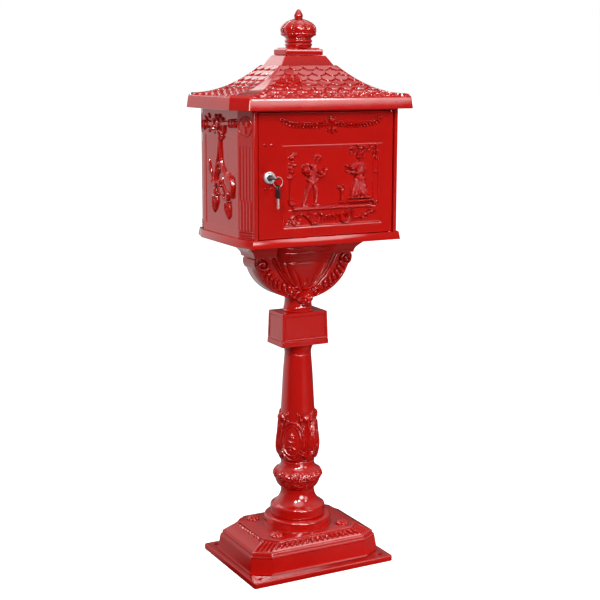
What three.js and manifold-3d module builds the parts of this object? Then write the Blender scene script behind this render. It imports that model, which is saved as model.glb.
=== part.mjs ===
// Pillar mailbox: a cast-aluminium letter box on a turned column, with a lockable door.
// Millimetres, +Z up. The origin is on the ground under the column; the door faces -Y.
import * as THREE from "three";
import { mergeVertices } from "three/addons/utils/BufferGeometryUtils.js";
import Module from "manifold-3d";

const wasm = await Module();
wasm.setup();

// ---------- driving dimensions ----------
const GAP = 0.3; // air left between pieces that touch
const WALL = 4; // wall of the cabinet castings

// Base casting
const FLANGE = { hx: 166.7, hy: 128, top: 12 };
const ANCHOR = { x: 145, y: 109.5, r: 5.75 };
const BODY = { hx: 155, hy: 107, cutX: 39, cutY: 24.5, ledge: 48, lip: 57 };
const PLATEAU = { hx: 113, hy: 85, cutX: 23, cutY: 25, z: 77 };
const ROSETTE = { x: 80, y: 57, r: 14, height: 8.5 };
const DISC = { r: 72.7, band: 94.5, top: 99.5 };

// Column, plinth block and bracket
const COLUMN = { bottom: DISC.top + GAP, top: 456, bore: 23 };
const PLINTH = { neckR: 28.6, bottom: 477, top: 547.6, hx: 55.2, hy: 36.1, draft: 2, bore: 20 };
const BOWL = { a: 111, b: 90, centreZ: 666, top: 668.7, hy: 32, wall: 6, neckR: 28.4 };
const SHELL = { r: 63, tipR: 14, bottom: 598, squash: 0.3, y: 30 };
const CORNICE = { bottom: 669, top: 704.7, low: [117, 33], high: [140, 50], wall: 5 };

// Cabinet: an octagon in plan with small corner faces
const TRAY = { bottom: 705, top: 720.7, hx: 185.5, hy: 131.5, cutX: 15.5, cutY: 53, floor: 5 };
const PAN = { hx: 151, hy: 102 };
const CABINET = { hx: 177.8, hy: 126.3, cutX: 15.3, cutY: 43.2, bottom: 721, top: 985 };
const POST = { x0: 154.5, x1: 166, y0: 104, y1: 116 };
const SCREW = { r: 1.5, hole: 1.8, headR: 3.2, head: 2.5 };
const SCREW_X = 157.8; // frame and back screws
const SCREW_LEVELS = [760, 950];
const TRAY_SCREW = { x: 159.5, y: 113.5, top: 741 };
const ROOF_SCREW = { x: 166, y: 55, top: 995 };
const LUG = { x0: 160, x1: 176, halfY: 8, bottom: 975 };

// Door, lock and keys
const POCKET = { x: 155.5, top: 969.5, depth: 6 };
const DOORWAY = { left: -146, bottom: 729, top: 961 };
const DOOR = { left: -153.5, bottom: 722.2, top: 968, thick: 4 };
const HINGE = { x: 148.5, y: -121.5, barrel: 4.8, pin: 2, hole: 2.3, reach: 12 };
const PANEL = { x0: -100, x1: 124, z0: 740, z1: 900, rim: 7, proud: 2 };
const BUMPS = { xs: [-139.5, -124.5], zs: [906, 821], r: 2.2 };
const LOCK = { x: -131, z: 843, bezel: 12, barrel: 9.2, bore: 6.5, plug: 6.2, face: -131.3, rear: -106.4 };
const CAM = { reach: 22.5, width: 12, plate: 2, tipY: -115.6, hubR: 8, bend: 13 };
const KEY = { holeR: 4, tip: 8, shoulder: 18.5, bladeStart: 12.3, bladeEnd: 40, bladeW: 7, bladeT: 2 };
const KEY_HEAD = { thick: 4.2, thin: 2.4, step: 8.5, neck: 6.5 };
const RING = { r: 10, wire: 0.8, x: -125, y: -152, drop: 6.5 };

// Mail slot and flap in the back
const SLOT = { hx: 130, z0: 905, z1: 940 };
const FLAP = { hx: 138, bottom: 893, thick: 4, y: 129.6, pivotZ: 955, barrel: 3, pin: 1.5, hole: 1.75 };

// Roof and finial
const EAVE = { hx: 205.3, hy: 148.6, cutX: 21, cutY: 46, z: 972.6 };
const ROOF = { topX: 46.5, topY: 32.1, top: 1077.5, edgeX: 200.3, edgeY: 143.4, edgeZ: 998 };
const ROOF_BEND = { t: 0.09, z: 1057.7 }; // where the steep neck meets the slopes
const ROOF_CURVE = 2.05; // exponent of the concave sweep of the slopes
const ROOF_SKIN = 5;
const FINIAL = { plateX: 42.9, plateY: 26.9, plateTop: 1090.3, top: 1170, studR: 4, studTop: 1112 };

// Tie rod through the whole column
const ROD = { r: 6, hole: 6.6, bottom: 46, top: 730, nutR: 10.4, nut: 10, washerR: 14, washer: 2 };
const CLAMP = { hx: 75, hy: 15, thick: 6 };
const TRAY_BOLT = { x: 100, y: 21, r: 3, hole: 3.4, headR: 6.3, head: 4, bottom: 690 };

// ---------- materials ----------
const finish = (color, roughness, metalness) =>
  new THREE.MeshStandardMaterial({ color, roughness, metalness });
const RED = { color: 0xb5120f, roughness: 0.25, metalness: 0.1 };
const redCoat = () => finish(RED.color, RED.roughness, RED.metalness);
const chrome = () => finish(0xd8dadd, 0.12, 1);
const zincSteel = () => finish(0xa7abae, 0.38, 1);
const blackPlastic = () => finish(0x141416, 0.4, 0);
const darkSteel = () => finish(0x3b3f42, 0.35, 0.9);

// ---------- solids ----------
function signedVolume(positions, index) {
  const a = new THREE.Vector3();
  const b = new THREE.Vector3();
  const c = new THREE.Vector3();
  let sum = 0;
  for (let i = 0; i < index.length; i += 3) {
    a.fromArray(positions, index[i] * 3);
    b.fromArray(positions, index[i + 1] * 3);
    c.fromArray(positions, index[i + 2] * 3);
    sum += a.dot(b.cross(c));
  }
  return sum;
}

// A closed three.js geometry becomes a manifold solid with its faces pointing out.
function solid(geometry) {
  const bare = geometry.clone();
  bare.deleteAttribute("normal");
  bare.deleteAttribute("uv");
  const merged = mergeVertices(bare, 1e-4);
  const vertProperties = new Float32Array(merged.attributes.position.array);
  const kept = [];
  const index = merged.index.array;
  for (let i = 0; i < index.length; i += 3) {
    const [a, b, c] = [index[i], index[i + 1], index[i + 2]];
    if (a !== b && b !== c && a !== c) kept.push(a, b, c);
  }
  if (signedVolume(vertProperties, kept) < 0) kept.reverse();
  return new wasm.Manifold(new wasm.Mesh({ numProp: 3, vertProperties, triVerts: new Uint32Array(kept) }));
}

function toGeometry(manifold) {
  const mesh = manifold.getMesh();
  const geometry = new THREE.BufferGeometry();
  geometry.setAttribute("position", new THREE.BufferAttribute(new Float32Array(mesh.vertProperties), 3));
  geometry.setIndex(new THREE.BufferAttribute(new Uint32Array(mesh.triVerts), 1));
  geometry.computeVertexNormals();
  return geometry;
}

const union = (...parts) => parts.reduce((sum, part) => sum.add(part));
const cut = (body, ...tools) => tools.reduce((rest, tool) => rest.subtract(tool), body);

function box(x0, x1, y0, y1, z0, z1) {
  const geometry = new THREE.BoxGeometry(x1 - x0, y1 - y0, z1 - z0);
  return solid(geometry.translate((x0 + x1) / 2, (y0 + y1) / 2, (z0 + z1) / 2));
}

// A cylinder along an axis; centre gives the two other coordinates in X, Y, Z order.
function cylinder(axis, radius, from, to, centre = [0, 0], sides = 20) {
  const geometry = new THREE.CylinderGeometry(radius, radius, to - from, sides);
  const middle = (from + to) / 2;
  if (axis === "z") {
    geometry.rotateX(Math.PI / 2).translate(centre[0], centre[1], middle);
  } else if (axis === "x") {
    geometry.rotateZ(Math.PI / 2).translate(middle, centre[0], centre[1]);
  } else {
    geometry.translate(centre[0], middle, centre[1]);
  }
  return solid(geometry);
}

// A solid of revolution about Z from a profile of [radius, z] that starts and ends on the axis.
function revolve(profile, sides = 24) {
  const points = profile.map(([r, z]) => new THREE.Vector2(r, z));
  return solid(new THREE.LatheGeometry(points, sides).rotateX(Math.PI / 2));
}

const smooth = (points, divisions) =>
  new THREE.SplineCurve(points.map(([r, z]) => new THREE.Vector2(r, z)))
    .getPoints(divisions)
    .map((p) => [p.x, p.y]);

const octagon = (hx, hy, cutX, cutY) => [
  [hx, cutY - hy],
  [hx, hy - cutY],
  [hx - cutX, hy],
  [cutX - hx, hy],
  [-hx, hy - cutY],
  [-hx, cutY - hy],
  [cutX - hx, -hy],
  [hx - cutX, -hy],
];

const rectangle = (hx, hy) => [[hx, -hy], [hx, hy], [-hx, hy], [-hx, -hy]];

// A closed solid through horizontal outlines with the same number of points: [{z, outline}, ...].
function loft(levels) {
  const count = levels[0].outline.length;
  const positions = levels.flatMap(({ z, outline }) => outline.flatMap(([x, y]) => [x, y, z]));
  const index = [];
  for (let level = 0; level < levels.length - 1; level++) {
    for (let i = 0; i < count; i++) {
      const a = level * count + i;
      const b = level * count + ((i + 1) % count);
      index.push(a, b, b + count, a, b + count, a + count);
    }
  }
  const top = (levels.length - 1) * count;
  for (let i = 1; i < count - 1; i++) {
    index.push(0, i + 1, i, top, top + i, top + i + 1);
  }
  const geometry = new THREE.BufferGeometry();
  geometry.setAttribute("position", new THREE.Float32BufferAttribute(positions, 3));
  geometry.setIndex(index);
  return solid(geometry);
}

// A flat outline pushed between two values of an axis: [x, y] for z, [x, z] for y, [y, z] for x.
function extrude(axis, outline, from, to) {
  const shape = new THREE.Shape(outline.map(([a, b]) => new THREE.Vector2(a, b)));
  const geometry = new THREE.ExtrudeGeometry(shape, { depth: to - from, bevelEnabled: false });
  if (axis === "z") geometry.translate(0, 0, from);
  if (axis === "y") geometry.rotateX(Math.PI / 2).translate(0, to, 0);
  if (axis === "x") geometry.rotateX(Math.PI / 2).rotateZ(Math.PI / 2).translate(from, 0, 0);
  return solid(geometry);
}

const place = (manifold, x, y, z) => manifold.translate([x, y, z]);

// ---------- scene graph ----------
const mailbox = new THREE.Group();
function addPiece(name, manifold, material) {
  const mesh = new THREE.Mesh(toGeometry(manifold), material);
  mesh.name = name;
  mailbox.add(mesh);
}

// ---------- base ----------
const corners = (x, y) => [[-x, -y], [x, -y], [x, y], [-x, y]];

function bodyOutline(inset, shrink = 0) {
  const rest = 1 - shrink;
  return octagon(BODY.hx - inset, BODY.hy - inset, BODY.cutX * rest, BODY.cutY * rest);
}

function baseCasting() {
  const flange = box(-FLANGE.hx, FLANGE.hx, -FLANGE.hy, FLANGE.hy, 0, FLANGE.top);
  const plateau = octagon(PLATEAU.hx, PLATEAU.hy, PLATEAU.cutX, PLATEAU.cutY);
  const body = loft([
    { z: FLANGE.top - 1, outline: bodyOutline(0) },
    { z: BODY.ledge, outline: bodyOutline(4.5) },
    { z: BODY.ledge + 0.5, outline: bodyOutline(8.5, 0.1) },
    { z: BODY.lip, outline: bodyOutline(9, 0.12) },
    { z: BODY.lip + 1, outline: bodyOutline(13, 0.16) },
    { z: PLATEAU.z - 1, outline: plateau },
    { z: PLATEAU.z, outline: plateau },
  ]);
  const discBottom = PLATEAU.z - 3;
  const disc = revolve(
    [[0, discBottom], [DISC.r, discBottom], [DISC.r, DISC.band], [70.5, 97.8], [66, DISC.top], [0, DISC.top]],
    28,
  );
  const hollow = loft([
    { z: -1, outline: bodyOutline(6) },
    { z: BODY.lip - 7, outline: bodyOutline(14, 0.15) },
    {
      z: PLATEAU.z - 6,
      outline: octagon(PLATEAU.hx - 3, PLATEAU.hy - 3, PLATEAU.cutX, PLATEAU.cutY),
    },
  ]);
  const discHollow = cylinder("z", DISC.r - 8, PLATEAU.z - 8, DISC.top - 6, [0, 0], 24);
  const { r, height } = ROSETTE;
  const dome = [[r, 1.5], [r * 0.78, height * 0.65], [r * 0.4, height]];
  const rosette = revolve([[0, -1], [r, -1], ...dome, [0, height]], 14);
  const rosettes = corners(ROSETTE.x, ROSETTE.y).map(([x, y]) => place(rosette, x, y, PLATEAU.z));
  const anchorHoles = corners(ANCHOR.x, ANCHOR.y).map((at) =>
    cylinder("z", ANCHOR.r, -1, FLANGE.top + 1, at, 20),
  );
  const rodHole = cylinder("z", ROD.hole, 50, DISC.top + 1);
  return cut(union(flange, body, disc, ...rosettes), hollow, discHollow, rodHole, ...anchorHoles);
}

const clampTop = PLATEAU.z - 6 - GAP;
const clampBottom = clampTop - CLAMP.thick;

function hexNut(radius, holeRadius, z0, z1, at = [0, 0]) {
  return cut(cylinder("z", radius, z0, z1, at, 6), cylinder("z", holeRadius, z0 - 1, z1 + 1, at, 16));
}

function washer(radius, holeRadius, z0, z1) {
  return cut(cylinder("z", radius, z0, z1), cylinder("z", holeRadius, z0 - 1, z1 + 1));
}

addPiece("base_casting", baseCasting(), redCoat());
addPiece(
  "base_clamp_bar",
  cut(box(-CLAMP.hx, CLAMP.hx, -CLAMP.hy, CLAMP.hy, clampBottom, clampTop), cylinder("z", ROD.hole, 0, 90)),
  zincSteel(),
);
addPiece("tie_rod", cylinder("z", ROD.r, ROD.bottom, ROD.top, [0, 0], 16), zincSteel());

const lowerWasherTop = clampBottom - GAP;
const lowerNutTop = lowerWasherTop - ROD.washer - GAP;
const trayFloorTop = TRAY.bottom + TRAY.floor;
const upperWasherBottom = trayFloorTop + GAP;
const upperNutBottom = upperWasherBottom + ROD.washer + GAP;
const rodThread = ROD.r + GAP;
const rodWasher = (bottom) => washer(ROD.washerR, rodThread, bottom, bottom + ROD.washer);
const rodNut = (bottom) => hexNut(ROD.nutR, rodThread, bottom, bottom + ROD.nut);
addPiece("rod_washer_lower", rodWasher(lowerWasherTop - ROD.washer), zincSteel());
addPiece("rod_nut_lower", rodNut(lowerNutTop - ROD.nut), zincSteel());
addPiece("rod_washer_upper", rodWasher(upperWasherBottom), zincSteel());
addPiece("rod_nut_upper", rodNut(upperNutBottom), zincSteel());

// ---------- column ----------
function columnShaft() {
  const foot = [[57, COLUMN.bottom], [59.2, 102], [59.2, 107.5], [57.6, 109.5], [58.9, 112], [58.9, 121.5]];
  const scotia = smooth([[57, 126.5], [44, 134.5], [36.2, 146], [35.7, 155]], 6);
  const lowerBulb = smooth([[38, 160], [46.7, 170.4], [52.6, 187], [45.8, 203.9], [33.8, 213.9]], 9);
  const upperBulb = smooth([[32.8, 221.8], [38.7, 232], [46.4, 261.7], [43.9, 277.6], [40.1, 300.6]], 8);
  const leafTips = [[41.9, 321.6], [37.5, 328]];
  const shaft = [[35.7, 346], [31.9, 413.7], [PLINTH.neckR, COLUMN.top]];
  const outline = [...foot, ...scotia, ...lowerBulb, ...upperBulb, ...leafTips, ...shaft];
  const body = revolve([[0, COLUMN.bottom], ...outline, [0, COLUMN.top]], 20);
  return cut(body, cylinder("z", COLUMN.bore, COLUMN.bottom - 1, COLUMN.top + 1, [0, 0], 16));
}

function plinthBlock() {
  const cove = revolve([
    [0, COLUMN.top + GAP],
    [PLINTH.neckR, COLUMN.top + GAP],
    ...smooth([[PLINTH.neckR, 460], [30.5, 469], [35.5, PLINTH.bottom + 0.5]], 5),
    [0, PLINTH.bottom + 0.5],
  ]);
  const block = loft([
    { z: PLINTH.bottom, outline: rectangle(PLINTH.hx, PLINTH.hy) },
    { z: PLINTH.top - 3, outline: rectangle(PLINTH.hx - PLINTH.draft, PLINTH.hy - PLINTH.draft) },
    { z: PLINTH.top, outline: rectangle(PLINTH.hx - PLINTH.draft - 2, PLINTH.hy - PLINTH.draft - 2) },
  ]);
  const bore = cylinder("z", PLINTH.bore, COLUMN.top, PLINTH.top - 8);
  return cut(union(cove, block), bore, cylinder("z", ROD.hole, 450, 560));
}

// Half ellipse, flat side up, offset inwards by inset.
function bowlOutline(inset, top, steps = 22) {
  const points = [];
  const a = BOWL.a - inset;
  const b = BOWL.b - inset;
  for (let i = 0; i <= steps; i++) {
    const angle = (Math.PI * i) / steps;
    points.push([-a * Math.cos(angle), BOWL.centreZ - b * Math.sin(angle)]);
  }
  points.push([a, top], [-a, top]);
  return points;
}

// Half-round scallop on the front or the back of the bracket.
function bracketShell(side) {
  const rim = [[SHELL.tipR, SHELL.bottom], [38, 622], [56, 645], [SHELL.r, BOWL.top]];
  const scallop = revolve([[0, SHELL.bottom], ...rim, [0, BOWL.top]], 24);
  return place(scallop.scale([1, SHELL.squash, 1]), 0, side * SHELL.y, 0);
}

function bowlBracket() {
  const body = extrude("y", bowlOutline(0, BOWL.top), -BOWL.hy, BOWL.hy);
  const neckBottom = PLINTH.top + GAP;
  const neck = revolve([
    [0, neckBottom], [32.3, neckBottom], [32.3, 551], [30.5, 554], [31, 556], [29.5, 562.7],
    [BOWL.neckR, 570.7], [BOWL.neckR, 588], [0, 588],
  ]);
  const boss = solid(new THREE.SphereGeometry(13, 12, 8));
  const bosses = [-1, 1].map((side) => place(boss, 0, side * BOWL.hy, 578));
  const pocketHalf = BOWL.hy - BOWL.wall;
  const pocket = extrude("y", bowlOutline(BOWL.wall, BOWL.top + 1), -pocketHalf, pocketHalf);
  const shells = [bracketShell(-1), bracketShell(1)];
  return cut(union(body, neck, ...bosses, ...shells), pocket, cylinder("z", ROD.hole, 500, 700));
}

// Ogee: the outline swells from the low to the high rectangle along a smooth S.
function corniceOutline(t, inset) {
  const s = t - 0.13 * Math.sin(2 * Math.PI * t);
  return rectangle(
    THREE.MathUtils.lerp(CORNICE.low[0], CORNICE.high[0], s) - inset,
    THREE.MathUtils.lerp(CORNICE.low[1], CORNICE.high[1], s) - inset,
  );
}

function bracketCornice() {
  const height = CORNICE.top - CORNICE.bottom;
  const steps = [0, 0.15, 0.3, 0.5, 0.7, 0.85, 0.86, 1];
  const level = (t, inset) => ({
    z: CORNICE.bottom + t * height,
    outline: corniceOutline(Math.min(t, 0.86), inset),
  });
  const body = loft(steps.map((t) => level(t, 0)));
  const roofed = [-0.03, 0.15, 0.3, 0.5, 0.7, 0.86];
  const hollow = loft(roofed.map((t) => level(t, CORNICE.wall + 3)));
  const boltHoles = corners(TRAY_BOLT.x, TRAY_BOLT.y).map((at) =>
    cylinder("z", TRAY_BOLT.hole, 690, 720, at, 12),
  );
  return cut(body, hollow, cylinder("z", ROD.hole, 660, 720), ...boltHoles);
}

addPiece("column_shaft", columnShaft(), redCoat());
addPiece("plinth_block", plinthBlock(), redCoat());
addPiece("bowl_bracket", bowlBracket(), redCoat());
addPiece("bracket_cornice", bracketCornice(), redCoat());

// ---------- floor tray and its bolts ----------
function floorTray() {
  const body = loft([
    { z: TRAY.bottom, outline: octagon(TRAY.hx, TRAY.hy, TRAY.cutX, TRAY.cutY) },
    { z: TRAY.top, outline: octagon(TRAY.hx - 2.5, TRAY.hy - 2.5, TRAY.cutX, TRAY.cutY) },
  ]);
  const pan = box(-PAN.hx, PAN.hx, -PAN.hy, PAN.hy, trayFloorTop, TRAY.top + 1);
  const drilled = ({ x, y, hole }) => corners(x, y).map((at) => cylinder("z", hole, 700, 730, at, 12));
  const screwHoles = drilled({ ...TRAY_SCREW, hole: SCREW.hole });
  const boltHoles = drilled(TRAY_BOLT);
  const pinHole = cylinder("z", HINGE.hole, TRAY.top - HINGE.reach, TRAY.top + 1, [HINGE.x, HINGE.y], 12);
  return cut(body, pan, cylinder("z", ROD.hole, 700, 730), pinHole, ...screwHoles, ...boltHoles);
}

function hexBolt(at) {
  const headBottom = trayFloorTop + GAP;
  const head = cylinder("z", TRAY_BOLT.headR, headBottom, headBottom + TRAY_BOLT.head, at, 6);
  return union(head, cylinder("z", TRAY_BOLT.r, TRAY_BOLT.bottom, headBottom + 1, at, 12));
}

// Screw from its tip to its seat along an axis, with a round head beyond the seat.
function screw(axis, tip, seat, centre) {
  const headDirection = Math.sign(seat - tip);
  const headEnd = seat + headDirection * SCREW.head;
  const shank = cylinder(axis, SCREW.r, Math.min(tip, seat), Math.max(tip, seat), centre, 8);
  const head = cylinder(axis, SCREW.headR, Math.min(seat, headEnd), Math.max(seat, headEnd), centre, 10);
  return union(shank, head);
}

addPiece("floor_tray", floorTray(), redCoat());
corners(TRAY_BOLT.x, TRAY_BOLT.y).forEach((at, i) => {
  addPiece(`tray_bolt_${i + 1}`, hexBolt(at), zincSteel());
});

// ---------- cabinet ----------
const CORNER_LENGTH = Math.hypot(CABINET.cutX, CABINET.cutY);

// Cabinet plan pulled in by an equal distance on every face.
function cabinetOutline(inset) {
  const hx = CABINET.hx - inset;
  const hy = CABINET.hy - inset;
  const [nx, ny] = [CABINET.cutY / CORNER_LENGTH, CABINET.cutX / CORNER_LENGTH];
  const reach = nx * CABINET.hx + ny * (CABINET.hy - CABINET.cutY) - inset;
  const ySide = (reach - nx * hx) / ny;
  const xFront = (reach - ny * hy) / nx;
  return octagon(hx, hy, hx - xFront, hy - ySide);
}

function cabinetPrism(inset) {
  return loft([
    { z: CABINET.bottom, outline: cabinetOutline(inset) },
    { z: CABINET.top, outline: cabinetOutline(inset) },
  ]);
}

const skinDepth = CABINET.hy - WALL; // front and back skins cover the ends of the side panels
const innerDepth = CABINET.hy - WALL - 6;
const mirrorX = (manifold) => manifold.mirror([1, 0, 0]);

function rightSidePanel() {
  const walls = cut(cabinetPrism(0), cabinetPrism(WALL));
  const half = box(0, 200, GAP - skinDepth, skinDepth - GAP, CABINET.bottom, CABINET.top);
  const frontPost = box(POST.x0, POST.x1, -POST.y1, -POST.y0, DOORWAY.bottom + GAP, CABINET.top);
  const backPost = box(POST.x0, POST.x1, POST.y0, POST.y1, CABINET.bottom, CABINET.top);
  const lugs = [-1, 1].map((side) => {
    const y = side * ROOF_SCREW.y;
    return box(LUG.x0, LUG.x1, y - LUG.halfY, y + LUG.halfY, LUG.bottom, CABINET.top);
  });
  const frameHoles = SCREW_LEVELS.flatMap((z) => [
    cylinder("y", SCREW.hole, -120, -100, [SCREW_X, z], 10),
    cylinder("y", SCREW.hole, 100, 120, [SCREW_X, z], 10),
  ]);
  const trayHoles = [-1, 1].map((side) =>
    cylinder("z", SCREW.hole, 720, TRAY_SCREW.top + 2, [TRAY_SCREW.x, side * TRAY_SCREW.y], 10),
  );
  const roofHoles = [-1, 1].map((side) =>
    cylinder("z", SCREW.hole, LUG.bottom - 1, CABINET.top + 1, [ROOF_SCREW.x, side * ROOF_SCREW.y], 10),
  );
  const shell = walls.intersect(half);
  return cut(union(shell, frontPost, backPost, ...lugs), ...frameHoles, ...trayHoles, ...roofHoles);
}

function screwBlindHoles(y0, y1) {
  const places = SCREW_LEVELS.flatMap((z) => [[-SCREW_X, z], [SCREW_X, z]]);
  return places.map((at) => cylinder("y", SCREW.hole, y0, y1, at, 10));
}

// Joins the outer skin to the liner behind it, across the gap that the side panels need.
function linerBridge(side) {
  const [y0, y1] = [side * (skinDepth - 0.6), side * (skinDepth + 0.3)].sort((a, b) => a - b);
  return box(-159, 159, y0, y1, CABINET.bottom, CABINET.top);
}

function frontFrame() {
  const fitted = cabinetPrism(WALL + GAP);
  const skin = cabinetPrism(0).intersect(box(-200, 200, -200, -skinDepth, 700, 1000));
  const ring = fitted.intersect(box(-200, 200, -skinDepth, -innerDepth, 700, 1000));
  const liner = union(linerBridge(-1), ring);
  const sill = fitted.intersect(box(-200, 200, -skinDepth, -109.5, 700, DOORWAY.bottom));
  const pocket = box(-POCKET.x, POCKET.x, -140, POCKET.depth - CABINET.hy, 700, POCKET.top);
  const opening = box(DOORWAY.left, POCKET.x, -140, -111, DOORWAY.bottom, DOORWAY.top);
  const barrelRoom = box(HINGE.x - 7, POCKET.x, -140, HINGE.y + 6.1, 700, POCKET.top);
  const pinTop = POCKET.top + HINGE.reach;
  const pinHole = cylinder("z", HINGE.hole, POCKET.top - 1, pinTop, [HINGE.x, HINGE.y], 12);
  const trayHoles = [-1, 1].map((side) =>
    cylinder("z", SCREW.hole, 700, 740, [side * TRAY_SCREW.x, -TRAY_SCREW.y], 10),
  );
  const holes = [pinHole, ...trayHoles, ...screwBlindHoles(-120, -110)];
  return cut(union(skin, liner, sill), pocket, opening, barrelRoom, ...holes);
}

const lugSpan = { x0: FLAP.hx + 2, x1: FLAP.hx + 10 };

function backPanel() {
  const skin = cabinetPrism(0).intersect(box(-200, 200, skinDepth, 200, 700, 1000));
  const ring = cabinetPrism(WALL + GAP).intersect(box(-200, 200, innerDepth, skinDepth, 700, 1000));
  const liner = union(linerBridge(1), ring);
  const middle = box(-POST.x0, POST.x0, 0, skinDepth, 700, 1000);
  const slot = box(-SLOT.hx, SLOT.hx, 100, 140, SLOT.z0, SLOT.z1);
  const lugs = [-1, 1].map((side) => {
    const [a, b] = [side * lugSpan.x0, side * lugSpan.x1].sort((p, q) => p - q);
    return box(a, b, CABINET.hy - 1, FLAP.y + 5, FLAP.pivotZ - 5, FLAP.pivotZ + 5);
  });
  const pinHole = cylinder("x", FLAP.hole, -160, 160, [FLAP.y, FLAP.pivotZ], 12);
  return cut(union(cut(union(skin, liner), middle), ...lugs), slot, pinHole, ...screwBlindHoles(110, 123));
}

const rightPanel = rightSidePanel();
addPiece("side_panel_right", rightPanel, redCoat());
addPiece("side_panel_left", mirrorX(rightPanel), redCoat());
addPiece("front_frame", frontFrame(), redCoat());
addPiece("back_panel", backPanel(), redCoat());

const screwPlaces = SCREW_LEVELS.flatMap((z) => [[-SCREW_X, z], [SCREW_X, z]]);
const postSeat = POST.y0 - GAP;
screwPlaces.forEach((at, i) => {
  addPiece(`frame_screw_${i + 1}`, screw("y", -119.5, -postSeat, at), zincSteel());
});
screwPlaces.forEach((at, i) => {
  addPiece(`back_screw_${i + 1}`, screw("y", 122, postSeat, at), zincSteel());
});
corners(TRAY_SCREW.x, TRAY_SCREW.y).forEach((at, i) =>
  addPiece(`tray_screw_${i + 1}`, screw("z", TRAY_SCREW.top, TRAY.bottom - GAP, at), zincSteel()),
);

// ---------- door ----------
function doorPanel() {
  const front = -CABINET.hy;
  const plate = box(DOOR.left, HINGE.x, front, front + DOOR.thick, DOOR.bottom, DOOR.top);
  const barrel = cylinder("z", HINGE.barrel, DOOR.bottom, DOOR.top, [HINGE.x, HINGE.y], 16);
  const { x0, x1, z0, z1, proud } = PANEL;
  const [left, right, low, high] = [x0 + PANEL.rim, x1 - PANEL.rim, z0 + PANEL.rim, z1 - PANEL.rim];
  const rim = cut(
    box(x0, x1, front - proud, front + 1, z0, z1),
    box(left, right, front - 5, front, low, high),
  );
  const garland = box(-96, 122, front - proud, front + 1, 938, 950);
  const bumpPlaces = BUMPS.xs.flatMap((x) => BUMPS.zs.map((z) => [x, z]));
  const bumps = bumpPlaces.map((at) => cylinder("y", BUMPS.r, front - 1.5, front + 1, at, 8));
  const ends = [[DOOR.bottom - 1, DOOR.bottom + HINGE.reach], [DOOR.top - HINGE.reach, DOOR.top + 1]];
  const pinHoles = ends.map(([from, to]) => {
    return cylinder("z", HINGE.hole, from, to, [HINGE.x, HINGE.y], 12);
  });
  const lockHole = cylinder("y", LOCK.barrel + GAP, -140, -110, [LOCK.x, LOCK.z], 24);
  return cut(union(plate, barrel, rim, garland, ...bumps), ...pinHoles, lockHole);
}

function doorPin(z0, z1) {
  return cylinder("z", HINGE.pin, z0, z1, [HINGE.x, HINGE.y], 12);
}

const pinReach = HINGE.reach - 1;
addPiece("door_pin_lower", doorPin(TRAY.top - pinReach, DOOR.bottom + pinReach), zincSteel());
addPiece("door_pin_upper", doorPin(DOOR.top - pinReach, POCKET.top + pinReach), zincSteel());
addPiece("door_panel", doorPanel(), redCoat());

// ---------- lock ----------
const lockAt = [LOCK.x, LOCK.z];
const doorFront = -CABINET.hy;
const doorRear = doorFront + DOOR.thick;

function lockHousing() {
  const flange = cylinder("y", LOCK.bezel, doorFront - 3.5, doorFront - GAP, lockAt, 24);
  const lip = cylinder("y", LOCK.bezel - 2, doorFront - 4.6, doorFront - 3, lockAt, 24);
  const barrel = cylinder("y", LOCK.barrel, doorFront - 1, LOCK.rear, lockAt, 20);
  return cut(union(flange, lip, barrel), cylinder("y", LOCK.bore, -140, -100, lockAt, 20));
}

const nutThickness = 4;
const lockNut = () =>
  cut(
    cylinder("y", 13.3, doorRear + GAP, doorRear + GAP + nutThickness, lockAt, 6),
    cylinder("y", LOCK.barrel + GAP, -130, -100, lockAt, 20),
  );

const plugRear = LOCK.rear - 0.2;
const tailEnd = LOCK.rear + 3;

function lockPlug() {
  const plug = cylinder("y", LOCK.plug, LOCK.face, plugRear, lockAt, 20);
  const tail = cylinder("y", 4, plugRear - 1, tailEnd, lockAt, 12);
  const keyway = box(LOCK.x - 3.9, LOCK.x + 3.9, -140, -111, LOCK.z - 1.35, LOCK.z + 1.35);
  const thread = cylinder("y", SCREW.hole, -110.5, -100, lockAt, 10);
  return cut(union(plug, tail), keyway, thread);
}

// Cranked cam: a hub behind the barrel and a tip that reaches back towards the door frame.
function lockCam() {
  const hubY0 = LOCK.rear + GAP;
  const hubY1 = hubY0 + CAM.plate;
  const tipY1 = CAM.tipY + CAM.plate;
  const outline = [
    [hubY0, LOCK.z + CAM.hubR],
    [hubY1, LOCK.z + CAM.hubR],
    [hubY1, LOCK.z - CAM.bend],
    [tipY1, LOCK.z - CAM.bend - CAM.plate],
    [tipY1, LOCK.z - CAM.reach],
    [CAM.tipY, LOCK.z - CAM.reach],
    [CAM.tipY, LOCK.z - CAM.bend],
    [hubY0, LOCK.z - CAM.bend + CAM.plate],
  ];
  const plate = extrude("x", outline, LOCK.x - CAM.width / 2, LOCK.x + CAM.width / 2);
  return cut(plate, cylinder("y", 4 + GAP, -110, -100, lockAt, 12));
}

addPiece("lock_housing", lockHousing(), chrome());
addPiece("lock_nut", lockNut(), zincSteel());
addPiece("lock_plug", lockPlug(), darkSteel());
addPiece("lock_cam", lockCam(), zincSteel());
addPiece("cam_screw", screw("y", -110, tailEnd + GAP, lockAt), zincSteel());

// ---------- keys: local origin at the ring hole, +Y towards the blade, flat in XY ----------
const arc = (cx, cy, r, from, to, steps) =>
  Array.from({ length: steps + 1 }, (_, i) => {
    const angle = from + ((to - from) * i) / steps;
    return [cx + r * Math.cos(angle), cy + r * Math.sin(angle)];
  });

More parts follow.
